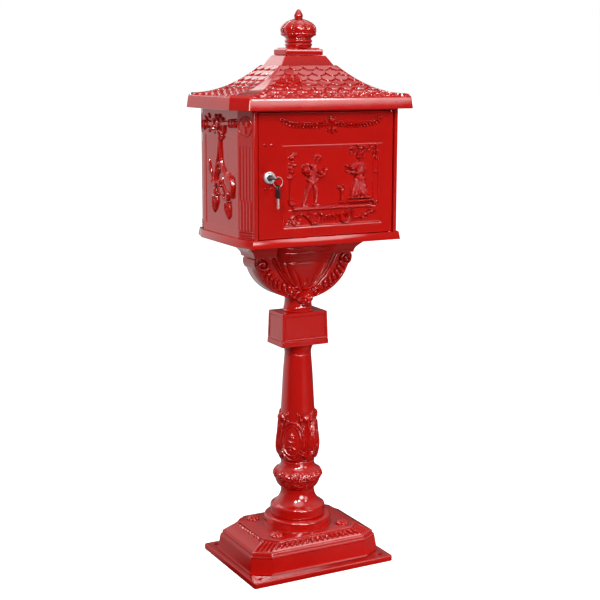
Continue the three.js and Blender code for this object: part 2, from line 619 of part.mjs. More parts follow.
function keyHead() {
  const round = arc(0, 0, KEY.tip, Math.PI, 2 * Math.PI, 12);
  const { neck } = KEY_HEAD;
  const bow = [...round, [KEY.tip, 6], [neck, KEY.shoulder], [-neck, KEY.shoulder], [-KEY.tip, 6]];
  const thinHalf = KEY_HEAD.thin / 2;
  const thickHalf = KEY_HEAD.thick / 2;
  const thin = extrude("z", bow, -thinHalf, thinHalf);
  const thick = extrude("z", bow, -thickHalf, thickHalf).intersect(box(-20, 20, KEY_HEAD.step, 30, -5, 5));
  const socketX = KEY.bladeW / 2 + GAP;
  const socketZ = KEY.bladeT / 2 + GAP;
  const socket = box(-socketX, socketX, KEY.bladeStart - GAP, 30, -socketZ, socketZ);
  return cut(union(thin, thick), socket, cylinder("z", KEY.holeR, -5, 5, [0, 0], 20));
}

function keyBlade() {
  const half = KEY.bladeW / 2;
  const teeth = [16, 20, 24, 28].flatMap((y, i) => {
    const depth = i % 2 ? 1.1 : 1.9;
    return [[half, y + 5], [half - depth, y + 6], [half - depth, y + 7.5], [half, y + 8.5]];
  });
  const root = [[-half, KEY.bladeStart], [half, KEY.bladeStart]];
  const point = [[half, KEY.bladeEnd - 2.5], [0, KEY.bladeEnd], [-half, KEY.bladeEnd - 2.5]];
  const outline = [...root, ...teeth, ...point];
  return extrude("z", outline, -KEY.bladeT / 2, KEY.bladeT / 2);
}

const insertedKey = (manifold) => place(manifold, LOCK.x, RING.y, LOCK.z);
const ringZ = LOCK.z - RING.drop;
const spareHoleZ = ringZ - RING.r + RING.wire + GAP - KEY.holeR;
// The spare key hangs down: its flat lies in YZ and its blade points to -Z.
const hangingKey = (manifold) =>
  place(manifold.rotate([-90, 0, 0]).rotate([0, 0, 90]), RING.x, RING.y, spareHoleZ);

addPiece("door_key_blade", insertedKey(keyBlade()), zincSteel());
addPiece("door_key_head", insertedKey(keyHead()), blackPlastic());
const ringGeometry = new THREE.TorusGeometry(RING.r, RING.wire, 8, 26).rotateX(Math.PI / 2);
addPiece("key_ring", place(solid(ringGeometry), RING.x, RING.y, ringZ), chrome());
addPiece("spare_key_blade", hangingKey(keyBlade()), zincSteel());
addPiece("spare_key_head", hangingKey(keyHead()), blackPlastic());

// ---------- mail flap ----------
function mailFlap() {
  const y0 = CABINET.hy + 1;
  const plate = box(-FLAP.hx, FLAP.hx, y0, y0 + FLAP.thick, FLAP.bottom, FLAP.pivotZ);
  const fieldX = FLAP.hx - 12;
  const fieldY = y0 + FLAP.thick + 2;
  const field = box(-fieldX, fieldX, y0 + 1, fieldY, FLAP.bottom + 10, FLAP.pivotZ - 12);
  const lip = box(-60, 60, y0 + 1, y0 + FLAP.thick + 8, FLAP.bottom, FLAP.bottom + 5);
  const barrel = cylinder("x", FLAP.barrel, -FLAP.hx, FLAP.hx, [FLAP.y, FLAP.pivotZ], 16);
  const pinHole = cylinder("x", FLAP.hole, -160, 160, [FLAP.y, FLAP.pivotZ], 12);
  return cut(union(plate, field, lip, barrel), pinHole);
}

addPiece("mail_flap", mailFlap(), redCoat());
const flapPinEnd = lugSpan.x1 + 1;
const flapPin = cylinder("x", FLAP.pin, -flapPinEnd, flapPinEnd, [FLAP.y, FLAP.pivotZ], 10);
addPiece("flap_hinge_pin", flapPin, zincSteel());

// ---------- roof ----------
// t runs from 0 at the top rectangle to 1 at the edge of the slopes.
function roofHeight(t) {
  if (t <= ROOF_BEND.t) return THREE.MathUtils.lerp(ROOF.top, ROOF_BEND.z, t / ROOF_BEND.t);
  return ROOF.edgeZ + (ROOF_BEND.z - ROOF.edgeZ) * ((1 - t) / (1 - ROOF_BEND.t)) ** ROOF_CURVE;
}

function roofOutline(t, inset) {
  const hx = THREE.MathUtils.lerp(ROOF.topX, ROOF.edgeX, t) - inset;
  const hy = THREE.MathUtils.lerp(ROOF.topY, ROOF.edgeY, t) - inset;
  const spread = Math.max((t - ROOF_BEND.t) / (1 - ROOF_BEND.t), 0.02);
  return octagon(hx, hy, EAVE.cutX * spread, EAVE.cutY * spread);
}

const eaveOutline = (inset) => octagon(EAVE.hx - inset, EAVE.hy - inset, EAVE.cutX, EAVE.cutY);

function roofShell() {
  const slopeSteps = [1, 0.9, 0.75, 0.62, 0.5, 0.4, 0.3, 0.22, 0.15, ROOF_BEND.t, 0];
  const outer = loft([
    { z: EAVE.z, outline: eaveOutline(0) },
    { z: ROOF.edgeZ - 1, outline: roofOutline(1, 0) },
    ...slopeSteps.map((t) => ({ z: roofHeight(t), outline: roofOutline(t, 0) })),
  ]);
  const land = CABINET.top + GAP;
  const eaveHollow = loft([
    { z: EAVE.z - 1, outline: eaveOutline(8) },
    { z: land, outline: eaveOutline(10) },
  ]);
  const hollowSteps = [0.76, 0.62, 0.5, 0.4, 0.3, 0.22, 0.15, ROOF_BEND.t, 0.035];
  const upperHollow = loft([
    { z: land - 1, outline: roofOutline(hollowSteps[0], ROOF_SKIN) },
    ...hollowSteps.map((t) => ({ z: roofHeight(t) - ROOF_SKIN, outline: roofOutline(t, ROOF_SKIN) })),
  ]);
  const studHole = cylinder("z", FINIAL.studR + GAP, 1040, 1090, [0, 0], 14);
  const screwHoles = corners(ROOF_SCREW.x, ROOF_SCREW.y).map((at) =>
    cylinder("z", SCREW.hole, land - 2, ROOF_SCREW.top + 1.5, at, 10),
  );
  return cut(outer, eaveHollow, upperHollow, studHole, ...screwHoles);
}

function finialPlate() {
  const { plateX: x, plateY: y } = FINIAL;
  const bottom = ROOF.top + GAP;
  const body = loft([
    { z: bottom, outline: rectangle(x - 3, y - 3) },
    { z: bottom + 1.5, outline: rectangle(x, y) },
    { z: FINIAL.plateTop - 1.2, outline: rectangle(x, y) },
    { z: FINIAL.plateTop, outline: rectangle(x - 1.2, y - 1.2) },
    { z: FINIAL.plateTop + 0.1, outline: rectangle(x - 5, y - 5) },
    { z: FINIAL.plateTop + 2.7, outline: rectangle(x - 6, y - 6) },
  ]);
  return cut(body, cylinder("z", FINIAL.studR + GAP, 1070, 1100, [0, 0], 14));
}

function finialCrown() {
  const base = FINIAL.plateTop + 2.7 + GAP;
  const neck = [[26.4, base], [26.4, 1096], [27.9, 1099.6], [26.3, 1103.6], [28, 1107.6], [26, 1111.6]];
  const bud = [[27.7, 1115.2], [32.5, 1119.6], [36.1, 1128.5], [32.7, 1138.3], [20.8, 1146.9], [9, 1151.7]];
  const crown = smooth(bud, 8);
  const tip = [[8, 1157.8], [5.4, 1165], [2.5, 1168.8], [0, FINIAL.top]];
  const body = revolve([[0, base], ...neck, ...crown, ...tip], 18);
  return cut(body, cylinder("z", FINIAL.studR + GAP, base - 1, FINIAL.studTop + 2, [0, 0], 14));
}

const roofCeiling = roofHeight(0.035) - ROOF_SKIN;
addPiece("roof_shell", roofShell(), redCoat());
corners(ROOF_SCREW.x, ROOF_SCREW.y).forEach((at, i) =>
  addPiece(`roof_screw_${i + 1}`, screw("z", ROOF_SCREW.top, LUG.bottom - GAP, at), zincSteel()),
);
addPiece("finial_plate", finialPlate(), redCoat());
addPiece("finial_crown", finialCrown(), redCoat());
const finialStud = cylinder("z", FINIAL.studR, roofCeiling - 10, FINIAL.studTop, [0, 0], 12);
addPiece("finial_stud", finialStud, zincSteel());
addPiece(
  "finial_nut",
  hexNut(7.5, FINIAL.studR + GAP, roofCeiling - GAP - 6.5, roofCeiling - GAP),
  zincSteel(),
);

export default mailbox;
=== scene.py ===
"""Pillar mailbox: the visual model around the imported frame.

Shapes are written in millimetres in the frame's own axes (+Z up, door on -Y) and become metres
when a mesh is made.
"""
import math

import bmesh
import bpy
import numpy as np
from mathutils import Matrix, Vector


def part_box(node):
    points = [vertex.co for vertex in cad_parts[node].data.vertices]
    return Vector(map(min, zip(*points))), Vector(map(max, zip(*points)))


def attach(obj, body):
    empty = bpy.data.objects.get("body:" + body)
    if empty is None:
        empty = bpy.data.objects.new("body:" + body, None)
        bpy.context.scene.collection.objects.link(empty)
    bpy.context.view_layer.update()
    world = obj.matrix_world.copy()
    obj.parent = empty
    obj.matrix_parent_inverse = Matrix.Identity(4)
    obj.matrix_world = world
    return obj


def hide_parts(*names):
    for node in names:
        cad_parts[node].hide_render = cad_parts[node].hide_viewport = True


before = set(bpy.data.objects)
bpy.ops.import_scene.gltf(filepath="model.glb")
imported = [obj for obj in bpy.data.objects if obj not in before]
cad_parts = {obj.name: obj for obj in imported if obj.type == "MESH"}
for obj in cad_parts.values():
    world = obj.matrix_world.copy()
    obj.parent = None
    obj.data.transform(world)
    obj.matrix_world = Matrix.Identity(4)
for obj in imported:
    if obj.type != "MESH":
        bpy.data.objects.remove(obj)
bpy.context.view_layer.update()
scene = bpy.context.scene
MM = 0.001
ROD_WAY, STUD_WAY, SCREW_WAY = 6.6, 4.3, 1.8  # radii of the holes for rod, stud and screws

# ---------- camera ----------
CAMERA_PLACE = (-1.23831, -2.32302, 1.06126)
CAMERA_YAW = -28.160
CAMERA_PITCH = -10.587
CAMERA_ROLL = 0.141
CAMERA_LENS = 75.87

camera_data = bpy.data.cameras.new("camera")
camera_data.lens = CAMERA_LENS
camera_data.sensor_width = 36.0
camera_data.clip_start = 0.05
camera = bpy.data.objects.new("camera", camera_data)
scene.collection.objects.link(camera)
scene.camera = camera


def turned(yaw, tilt, roll=0.0):
    """Rotation that turns about the view axis, tilts up from straight down, then swings round Z."""
    return (
        Matrix.Rotation(math.radians(yaw), 4, "Z")
        @ Matrix.Rotation(math.radians(90 + tilt), 4, "X")
        @ Matrix.Rotation(math.radians(roll), 4, "Z")
    )


camera.matrix_world = Matrix.Translation(CAMERA_PLACE) @ turned(
    CAMERA_YAW, CAMERA_PITCH, CAMERA_ROLL
)


# ---------- materials ----------
def new_material(name, **values):
    """A material with its shader, and constant values set on the shader's own sockets."""
    material = bpy.data.materials.new(name)
    material.use_nodes = True
    shader = material.node_tree.nodes["Principled BSDF"]
    for socket, value in values.items():
        shader.inputs[socket.replace("_", " ")].default_value = value
    return material, material.node_tree, shader


def connect(tree, socket, value):
    """Feeds a socket from another node's output, or sets it to a constant."""
    if isinstance(value, bpy.types.NodeSocket):
        tree.links.new(value, socket)
    else:
        socket.default_value = value


def math_node(tree, operation, *values, kind="Math", result="Value"):
    node = tree.nodes.new(f"ShaderNode{kind}")
    node.operation = operation
    for socket, value in zip(node.inputs, values):
        connect(tree, socket, value)
    return node.outputs[result]


def fade_node(tree, value, start, full, low=0.0, high=1.0):
    """A smooth step of a value: low at start, high at full."""
    node = tree.nodes.new("ShaderNodeMapRange")
    node.interpolation_type = "SMOOTHSTEP"
    names = ("Value", "From Min", "From Max", "To Min", "To Max")
    for name, amount in zip(names, (value, start, full, low, high)):
        connect(tree, node.inputs[name], amount)
    return node.outputs["Result"]


def camera_switch(tree, unseen, seen, output):
    """One shader for what the camera sees directly and another for every other ray."""
    path = tree.nodes.new("ShaderNodeLightPath")
    mix = tree.nodes.new("ShaderNodeMixShader")
    for socket, value in zip(mix.inputs, (path.outputs["Is Camera Ray"], unseen, seen)):
        connect(tree, socket, value)
    connect(tree, tree.nodes[output].inputs["Surface"], mix.outputs["Shader"])


def noise(tree, scale, detail):
    """Noise over the object's own metres."""
    coordinates = tree.nodes.new("ShaderNodeTexCoord")
    texture = tree.nodes.new("ShaderNodeTexNoise")
    texture.inputs["Scale"].default_value = scale
    texture.inputs["Detail"].default_value = detail
    tree.links.new(coordinates.outputs["Object"], texture.inputs["Vector"])
    return texture.outputs["Fac"]


def ramp(tree, source, low, high, start=0.3, end=0.7):
    """Maps a 0-1 value to a colour or a grey between low and high."""
    node = tree.nodes.new("ShaderNodeValToRGB")
    for element, place, value in zip(node.color_ramp.elements, (start, end), (low, high)):
        colour = value if isinstance(value, tuple) else (value, value, value)
        element.position = place
        element.color = (*colour, 1.0)
    tree.links.new(source, node.inputs["Fac"])
    return node.outputs["Color"]


def mottle(tree, socket, scale, detail, low, high):
    """Drives a shader's socket with noise between two colours or two numbers."""
    tree.links.new(ramp(tree, noise(tree, scale, detail), low, high), socket)


def bump(tree, shader, layers):
    """Stacks bumps, each (height, metres), onto the shader's normal."""
    normal = None
    for height, distance in layers:
        node = tree.nodes.new("ShaderNodeBump")
        node.inputs["Strength"].default_value = 1.0
        node.inputs["Distance"].default_value = distance
        tree.links.new(height, node.inputs["Height"])
        if normal is not None:
            tree.links.new(normal, node.inputs["Normal"])
        normal = node.outputs["Normal"]
    tree.links.new(normal, shader.inputs["Normal"])


def multiply(tree, first, second):
    node = tree.nodes.new("ShaderNodeMix")
    node.data_type = "RGBA"
    node.blend_type = "MULTIPLY"
    node.inputs["Factor"].default_value = 1.0
    tree.links.new(first, node.inputs["A"])
    tree.links.new(second, node.inputs["B"])
    return node.outputs["Result"]


def powder_coat(name, deep, bright, rough, peel):
    """Glossy coat on a casting: orange peel, slow waviness, and painted shade that darkens its hollows
    and creases.
    """
    material, tree, shader = new_material(
        name, Metallic=0.0, IOR=1.5, Coat_Weight=0.5, Coat_Roughness=0.03, Coat_IOR=1.5
    )
    colour = ramp(tree, noise(tree, 9.0, 4.0), deep, bright)
    geometry = tree.nodes.new("ShaderNodeNewGeometry")
    # painted shade: colour darkened to 0.55 where pointiness is low, in hollows and creases where
    # shade falls
    edges = ramp(tree, geometry.outputs["Pointiness"], 0.55, 1.0, 0.44, 0.505)
    tree.links.new(multiply(tree, colour, edges), shader.inputs["Base Color"])
    mottle(tree, shader.inputs["Roughness"], 38.0, 5.0, *rough)
    bump(tree, shader, [(noise(tree, 16.0, 2.0), 0.0006), (noise(tree, 420.0, 2.0), peel)])
    return material


def worked_metal(name, colour, rough, grain_scale, grain_depth, **values):
    """Bare or plated metal with a fine grain and uneven polish."""
    material, tree, shader = new_material(name, **{"Metallic": 1.0, **values})
    mottle(tree, shader.inputs["Base Color"], 60.0, 4.0, *colour)
    mottle(tree, shader.inputs["Roughness"], 240.0, 5.0, *rough)
    bump(tree, shader, [(noise(tree, grain_scale, 3.0), grain_depth)])
    return material


def moulded_plastic(name):
    material, tree, shader = new_material(name, IOR=1.48)
    mottle(tree, shader.inputs["Base Color"], 120.0, 3.0, (0.008, 0.008, 0.009), (0.016, 0.016, 0.018))
    mottle(tree, shader.inputs["Roughness"], 500.0, 4.0, 0.26, 0.38)
    bump(tree, shader, [(noise(tree, 1500.0, 2.0), 0.00003)])
    return material


RED_DEEP = (0.56, 0.0060, 0.0035)
RED_BRIGHT = (0.63, 0.0080, 0.0050)
red = powder_coat("red_coat", RED_DEEP, RED_BRIGHT, (0.09, 0.15), 0.00004)
# chrome whose near-white colour is only partly metallic (0.45): part of its brightness is a painted
# white reflection of the studio, so the bezel reads bright
chrome = worked_metal(
    "chrome", ((0.88, 0.89, 0.90), (0.95, 0.95, 0.96)), (0.20, 0.30), 900.0, 0.000004, Metallic=0.45
)
zinc = worked_metal(
    "zinc_steel", ((0.50, 0.51, 0.53), (0.66, 0.67, 0.68)), (0.26, 0.42), 1400.0, 0.00002
)
plug_steel = worked_metal(
    "plug_steel", ((0.035, 0.037, 0.04), (0.07, 0.072, 0.075)), (0.28, 0.4), 1400.0, 0.00002
)
nickel = worked_metal(
    "key_nickel", ((0.74, 0.70, 0.62), (0.86, 0.82, 0.74)), (0.2, 0.3), 1400.0, 0.00002, Metallic=0.4
)
black = moulded_plastic("black_plastic")


# ---------- mesh helpers ----------
def turn_angles(count):
    """Angles all round, the first one on +X."""
    return np.linspace(0, 2 * math.pi, count, endpoint=False)


def mesh_object(name, points, faces, material, crease=40.0):
    mesh = bpy.data.meshes.new(name)
    mesh.from_pydata((np.asarray(points, float) * MM).tolist(), [], faces)
    obj = bpy.data.objects.new(name, mesh)
    scene.collection.objects.link(obj)
    mesh.materials.append(material)
    return finish_mesh(obj, crease)


def finish_mesh(obj, crease=40.0):
    """Outward faces, smooth shading and hard edges above the crease angle."""
    work = bmesh.new()
    work.from_mesh(obj.data)
    bmesh.ops.recalc_face_normals(work, faces=work.faces)
    work.to_mesh(obj.data)
    work.free()
    obj.data.shade_smooth()
    obj.data.set_sharp_from_angle(angle=math.radians(crease))
    return obj


def install(obj, body, *nodes):
    """The piece rides on its body and stands in for CAD nodes, which are hidden."""
    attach(obj, body)
    if nodes:
        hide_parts(*nodes)
    return obj


def combine(obj, tool, operation):
    """Exact union or difference of two closed meshes; the tool goes away."""
    modifier = obj.modifiers.new("combine", "BOOLEAN")
    modifier.operation = operation
    modifier.solver = "MANIFOLD"
    modifier.object = tool
    graph = bpy.context.evaluated_depsgraph_get()
    mesh = bpy.data.meshes.new_from_object(obj.evaluated_get(graph))
    obj.modifiers.clear()
    obj.data = mesh
    bpy.data.objects.remove(tool)
    return obj


def grid_faces(rows, columns, wrap_rows=False, wrap_columns=False):
    """Quads over a rows x columns block of points, closed round either way if asked."""
    row = np.arange(rows if wrap_rows else rows - 1)[:, None]
    column = np.arange(columns if wrap_columns else columns - 1)[None, :]
    next_row = (row + 1) % rows
    next_column = (column + 1) % columns
    a = row * columns + column
    b = row * columns + next_column
    c = next_row * columns + next_column
    d = next_row * columns + column
    return np.stack([a, b, c, d], axis=-1).reshape(-1, 4).tolist()


def loft(name, rings, material, hollow=False, crease=40.0):
    """A closed solid through rings of equal count; hollow joins the last ring to the first."""
    rings = np.asarray(rings, float)
    levels, count = rings.shape[:2]
    faces = grid_faces(levels, count, wrap_rows=hollow, wrap_columns=True)
    if not hollow:
        faces.append(list(range(count - 1, -1, -1)))
        faces.append(list(range((levels - 1) * count, levels * count)))
    return mesh_object(name, rings.reshape(-1, 3), faces, material, crease)


def sheet(name, front, back, material, crease=40.0):
    """A closed plate between two point grids of equal size."""
    front = np.asarray(front, float)
    back = np.asarray(back, float)
    rows, columns = front.shape[:2]
    size = rows * columns
    faces = grid_faces(rows, columns)
    faces += [[i + size for i in face[::-1]] for face in faces]
    border = (
        [(0, j) for j in range(columns)]
        + [(i, columns - 1) for i in range(1, rows)]
        + [(rows - 1, j) for j in range(columns - 2, -1, -1)]
        + [(i, 0) for i in range(rows - 2, 0, -1)]
    )
    loop = [i * columns + j for i, j in border]
    for k, start in enumerate(loop):
        end = loop[(k + 1) % len(loop)]
        faces.append([end, start, start + size, end + size])
    points = np.concatenate([front.reshape(-1, 3), back.reshape(-1, 3)])
    return mesh_object(name, points, faces, material, crease)


def block(x0, x1, y0, y1, z0, z1):
    """A plain block used only as a cutting or joining tool."""
    points = [(x, y, z) for z in (z0, z1) for x, y in ((x0, y0), (x1, y0), (x1, y1), (x0, y1))]
    faces = [[3, 2, 1, 0], [4, 5, 6, 7], [0, 1, 5, 4], [1, 2, 6, 5], [2, 3, 7, 6], [3, 0, 4, 7]]
    return mesh_object("tool", points, faces, red)


def rod(axis, radius, start, end, centre=(0.0, 0.0), sides=32):
    """A plain cylinder used only as a cutting or joining tool."""
    angle = turn_angles(sides)
    p = centre[0] + radius * np.cos(angle)
    q = centre[1] + radius * np.sin(angle)
    ends = []
    for along in (start, end):
        w = np.full(sides, float(along))
        ends.append({"x": (w, p, q), "y": (p, w, q), "z": (p, q, w)}[axis])
    rings = [np.stack(end, axis=-1) for end in ends]
    return loft("tool", rings, red)


def lathe(name, profile, material, sides=96, centre=(0.0, 0.0)):
    """A solid of revolution about Z from [(radius, z), ...]."""
    angle = turn_angles(sides)
    circle = np.column_stack([np.cos(angle), np.sin(angle)])
    return loft(name, [level(centre + r * circle, z) for r, z in profile], material, crease=32.0)


def turned_rings(outline, sides, relief):
    """Rings about Z through [(radius, z), ...], with relief(angle, z) added to the radius."""
    angle = turn_angles(sides)[None, :]
    flat = np.zeros((len(outline), sides))
    radius, z = outline[:, :1] + flat, outline[:, 1:] + flat
    radius = radius + relief(angle + flat, z)
    return np.stack([radius * np.cos(angle), radius * np.sin(angle), z], axis=-1)


WELD = 1e-6  # metres between points that are one
COPLANAR = 1.0  # degrees between faces that are one
BEVEL_FROM = 30.0  # degrees at which an edge is softened


def bevelled_copy(node, material, width):
    """The CAD node's own shape with merged flat faces and softened edges."""
    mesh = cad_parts[node].data.copy()
    work = bmesh.new()
    work.from_mesh(mesh)
    bmesh.ops.remove_doubles(work, verts=work.verts, dist=WELD)
    bmesh.ops.dissolve_limit(
        work, angle_limit=math.radians(COPLANAR), verts=work.verts, edges=work.edges
    )
    work.to_mesh(mesh)
    work.free()
    mesh.materials.clear()
    mesh.materials.append(material)
    obj = bpy.data.objects.new(f"{node}_look", mesh)
    scene.collection.objects.link(obj)
    modifier = obj.modifiers.new("bevel", "BEVEL")
    modifier.width = width * MM
    modifier.segments = 2
    modifier.limit_method = "ANGLE"
    modifier.angle_limit = math.radians(BEVEL_FROM)
    modifier.use_clamp_overlap = True
    graph = bpy.context.evaluated_depsgraph_get()
    obj.data = bpy.data.meshes.new_from_object(obj.evaluated_get(graph))
    obj.modifiers.clear()
    return finish_mesh(obj)


# ---------- outlines in plan ----------
def octagon(hx, hy, cut_x, cut_y):
    return [
        (hx, cut_y - hy),
        (hx, hy - cut_y),
        (hx - cut_x, hy),
        (cut_x - hx, hy),
        (-hx, hy - cut_y),
        (-hx, cut_y - hy),
        (cut_x - hx, -hy),
        (hx - cut_x, -hy),
    ]


def corners(x, y):
    """Four places mirrored over both axes."""
    return [(-x, -y), (-x, y), (x, -y), (x, y)]


class Ring:
    """Points along a convex outline with rounded corners, and what each point lies on.

    edge is the number of the edge, or -1 on a corner; along is the distance from the edge's middle.
    """

    def __init__(self, outline, counts, radius, arc=4):
        outline = np.asarray(outline, float)
        total = len(outline)
        step = np.roll(outline, -1, axis=0) - outline
        length = np.linalg.norm(step, axis=1)
        direction = step / length[:, None]
        points, normals, edges, along = [], [], [], []
        tangents = []
        for i in range(total):
            before, after = direction[i - 1], direction[i]
            turn = math.acos(np.clip(np.dot(before, after), -1, 1))
            limit = 0.45 * min(length[i - 1], length[i])
            tangents.append((min(radius * math.tan(turn / 2), limit), turn))
        for i in range(total):
            before, after = direction[i - 1], direction[i]
            tangent, turn = tangents[i]
            bend = tangent / math.tan(turn / 2)
            start_normal = np.array([before[1], -before[0]])
            centre = outline[i] - before * tangent - start_normal * bend
            first = math.atan2(start_normal[1], start_normal[0])
            for j in range(arc + 1):
                angle = first + turn * j / arc
                normal = np.array([math.cos(angle), math.sin(angle)])
                points.append(centre + bend * normal)
                normals.append(normal)
                edges.append(-1)
                along.append(0.0)
            following = outline[(i + 1) % total]
            start = outline[i] + after * tangent
            end = following - after * tangents[(i + 1) % total][0]
            middle = (outline[i] + following) / 2
            for t in np.linspace(0, 1, counts[i] + 2)[1:-1]:
                point = start + (end - start) * t
                points.append(point)
                normals.append(np.array([after[1], -after[0]]))
                edges.append(i)
                along.append(float(np.dot(point - middle, after)))
        self.points = np.array(points)
        self.normals = np.array(normals)
        self.edge = np.array(edges)
        self.along = np.array(along)


def circle_like(ring_points, radius):
    """The same number of points on a circle, in the same directions."""
    length = np.linalg.norm(ring_points, axis=1)[:, None]
    return ring_points / length * radius


def level(points, z):
    return np.column_stack([points, np.full(len(points), float(z))])


def hump(x, power=0.5):
    """Round hump of height 1 over x from -1 to 1."""
    return np.clip(1 - x**2, 0, 1) ** power


def repeat(along, pitch, shift=0.5):
    """Place within one of many equal repeats, from -1 to 1."""
    return ((along / pitch + shift) % 1.0 - 0.5) * 2


def spline(points, count):
    """Catmull-Rom curve through the points, with count samples in each span."""
    p = np.asarray(points, float)
    p = np.vstack([2 * p[0] - p[1], p, 2 * p[-1] - p[-2]])
    result = []
    for i in range(1, len(p) - 2):
        for t in np.linspace(0, 1, count, endpoint=False):
            a, b, c, d = p[i - 1 : i + 3]
            result.append(
                0.5
                * (
                    2 * b
                    + (c - a) * t
                    + (2 * a - 5 * b + 4 * c - d) * t * t
                    + (3 * b - a - 3 * c + d) * t**3
                )
            )
    result.append(p[-2])
    return np.array(result)


def resample(points, step):
    """Points at about equal distances along a polyline, keeping its corners."""
    points = np.asarray(points, float)
    result = [points[0]]
    for a, b in zip(points[:-1], points[1:]):
        pieces = max(1, int(round(np.linalg.norm(b - a) / step)))
        result += [a + (b - a) * k / pieces for k in range(1, pieces + 1)]
    return np.array(result)


def smoothstep(x, low, high):
    t = np.clip((x - low) / (high - low), 0, 1)
    return t * t * (3 - 2 * t)


def lerp(a, b, t):
    return a + (b - a) * t


# ---------- relief: heights over a flat grid, in millimetres ----------
class Relief:
    """Cast ornament as a height field over two grids of coordinates, u across and v up."""

    def __init__(self, u, v):
        self.u = u
        self.v = v
        self.height = np.zeros_like(u)

    def blend(self, shape):
        """Joins a shape to what is there like clay: the higher one wins, with a soft seam."""
        self.height = np.maximum(self.height, shape)

    def add(self, shape):
        self.height = self.height + shape

    @staticmethod
    def dome(distance, height, power=0.5):
        """Round-backed profile: distance is 0 on the crest and 1 at the foot."""
        return height * np.clip(1 - distance**2, 0, 1) ** power

    def stroke(self, points, radius, height, smooth=True, power=0.6):
        """A raised cord along points; radius and height are numbers or (start, middle, end)."""
        path = spline(points, 6) if smooth and len(points) > 2 else np.asarray(points, float)
        count = len(path)
        place = np.linspace(0, 1, count)
        radii = profile_values(radius, place)
        heights = profile_values(height, place)
        best = np.zeros_like(self.u)
        margin = float(np.max(radii)) * 1.05
        for i in range(count - 1):
            (ax, ay), (bx, by) = path[i], path[i + 1]
            near = (
                (self.u > min(ax, bx) - margin)
                & (self.u < max(ax, bx) + margin)
                & (self.v > min(ay, by) - margin)
                & (self.v < max(ay, by) + margin)
            )
            if not near.any():
                continue
            u, v = self.u[near], self.v[near]
            dx, dy = bx - ax, by - ay
            span = dx * dx + dy * dy + 1e-9
            t = np.clip(((u - ax) * dx + (v - ay) * dy) / span, 0, 1)
            reach = np.hypot(u - ax - t * dx, v - ay - t * dy)
            r = radii[i] + (radii[i + 1] - radii[i]) * t
            h = heights[i] + (heights[i + 1] - heights[i]) * t
            best[near] = np.maximum(best[near], self.dome(reach / r, h, power))
        self.blend(best)

    def axes(self, centre, turn):
        """Coordinates from a centre, along axes turned by some degrees."""
        angle = math.radians(turn)
        du, dv = self.u - centre[0], self.v - centre[1]
        across = du * math.cos(angle) + dv * math.sin(angle)
        return across, -du * math.sin(angle) + dv * math.cos(angle)

    def oval(self, centre, radii, height, turn=0.0, power=0.6):
        p, q = self.axes(centre, turn)
        self.blend(self.dome(np.hypot(p / radii[0], q / radii[1]), height, power))

    def oval_ring(self, centre, radii, width, height):
        """A raised oval line, width across."""
        p, q = self.u - centre[0], self.v - centre[1]
        scale = np.hypot(p / radii[0], q / radii[1]) + 1e-9
        mean = np.hypot(p, q) / scale
        self.blend(self.dome(np.abs(scale - 1) * mean / (width / 2), height))

    def inside(self, u0, u1, v0, v1):
        """Distance in from the border of a rectangle."""
        return np.minimum.reduce([self.u - u0, u1 - self.u, self.v - v0, v1 - self.v])

    def box(self, u0, u1, v0, v1, height, edge):
        """A raised rectangle with sloping sides edge wide."""
        self.blend(height * smoothstep(self.inside(u0, u1, v0, v1), 0, edge))

    def sink(self, u0, u1, v0, v1, depth, edge):
        """A sunk rectangle with sloping sides edge wide."""
        self.add(-depth * smoothstep(self.inside(u0, u1, v0, v1), 0, edge))

    def stroke_groove(self, start, end, radius, depth):
        """A round-bottomed groove along a straight line."""
        (ax, ay), (bx, by) = start, end
        dx, dy = bx - ax, by - ay
        t = np.clip(((self.u - ax) * dx + (self.v - ay) * dy) / (dx * dx + dy * dy), 0, 1)
        reach = np.hypot(self.u - ax - t * dx, self.v - ay - t * dy)
        self.add(-self.dome(reach / radius, depth))

    def frame_line(self, u0, u1, v0, v1, width, height):
        """A raised rounded line along a rectangle."""
        outside = np.hypot(
            np.maximum.reduce([u0 - self.u, self.u - u1, np.zeros_like(self.u)]),
            np.maximum.reduce([v0 - self.v, self.v - v1, np.zeros_like(self.u)]),
        )
        inside = self.inside(u0, u1, v0, v1)
        distance = np.where(inside > 0, inside, outside)
        self.blend(self.dome(distance / (width / 2), height))

    def leaf(self, base, tip, width, height, bow=0.0, veins=True):
        """A pointed leaf from base to tip, with a mid rib and side veins."""
        base, tip = np.asarray(base, float), np.asarray(tip, float)
        length = float(np.linalg.norm(tip - base))
        direction = (tip - base) / length
        du, dv = self.u - base[0], self.v - base[1]
        p = (du * direction[0] + dv * direction[1]) / length
        q = -du * direction[1] + dv * direction[0]
        inside = (p > 0) & (p < 1)
        t = np.clip(p, 0, 1)
        q = q - bow * np.sin(math.pi * t)
        half = width / 2 * np.clip(np.sin(math.pi * t**0.75), 0, 1) ** 0.8 + 1e-6
        shape = height * np.clip(1 - (q / half) ** 2, 0, 1) ** 0.55 * inside
        if veins:
            rib = np.exp(-((q / (0.09 * width)) ** 2))
            vein = 0.5 + 0.5 * np.cos(2 * math.pi * (t * length / 3.2 - np.abs(q) / 3.4))
            shape = shape * (0.78 + 0.22 * vein) - 0.25 * height * rib * inside * (shape > 0)
        self.blend(np.clip(shape, 0, None))

    def sprig(self, place, turn, reach, width, height, veins=False):
        """A leaf from place towards turn in degrees; reach is a number, or (across, up)."""
        across, up = reach if isinstance(reach, tuple) else (reach, reach)
        angle = math.radians(turn)
        tip = (place[0] + across * math.cos(angle), place[1] + up * math.sin(angle))
        self.leaf(place, tip, width, height, veins=veins)

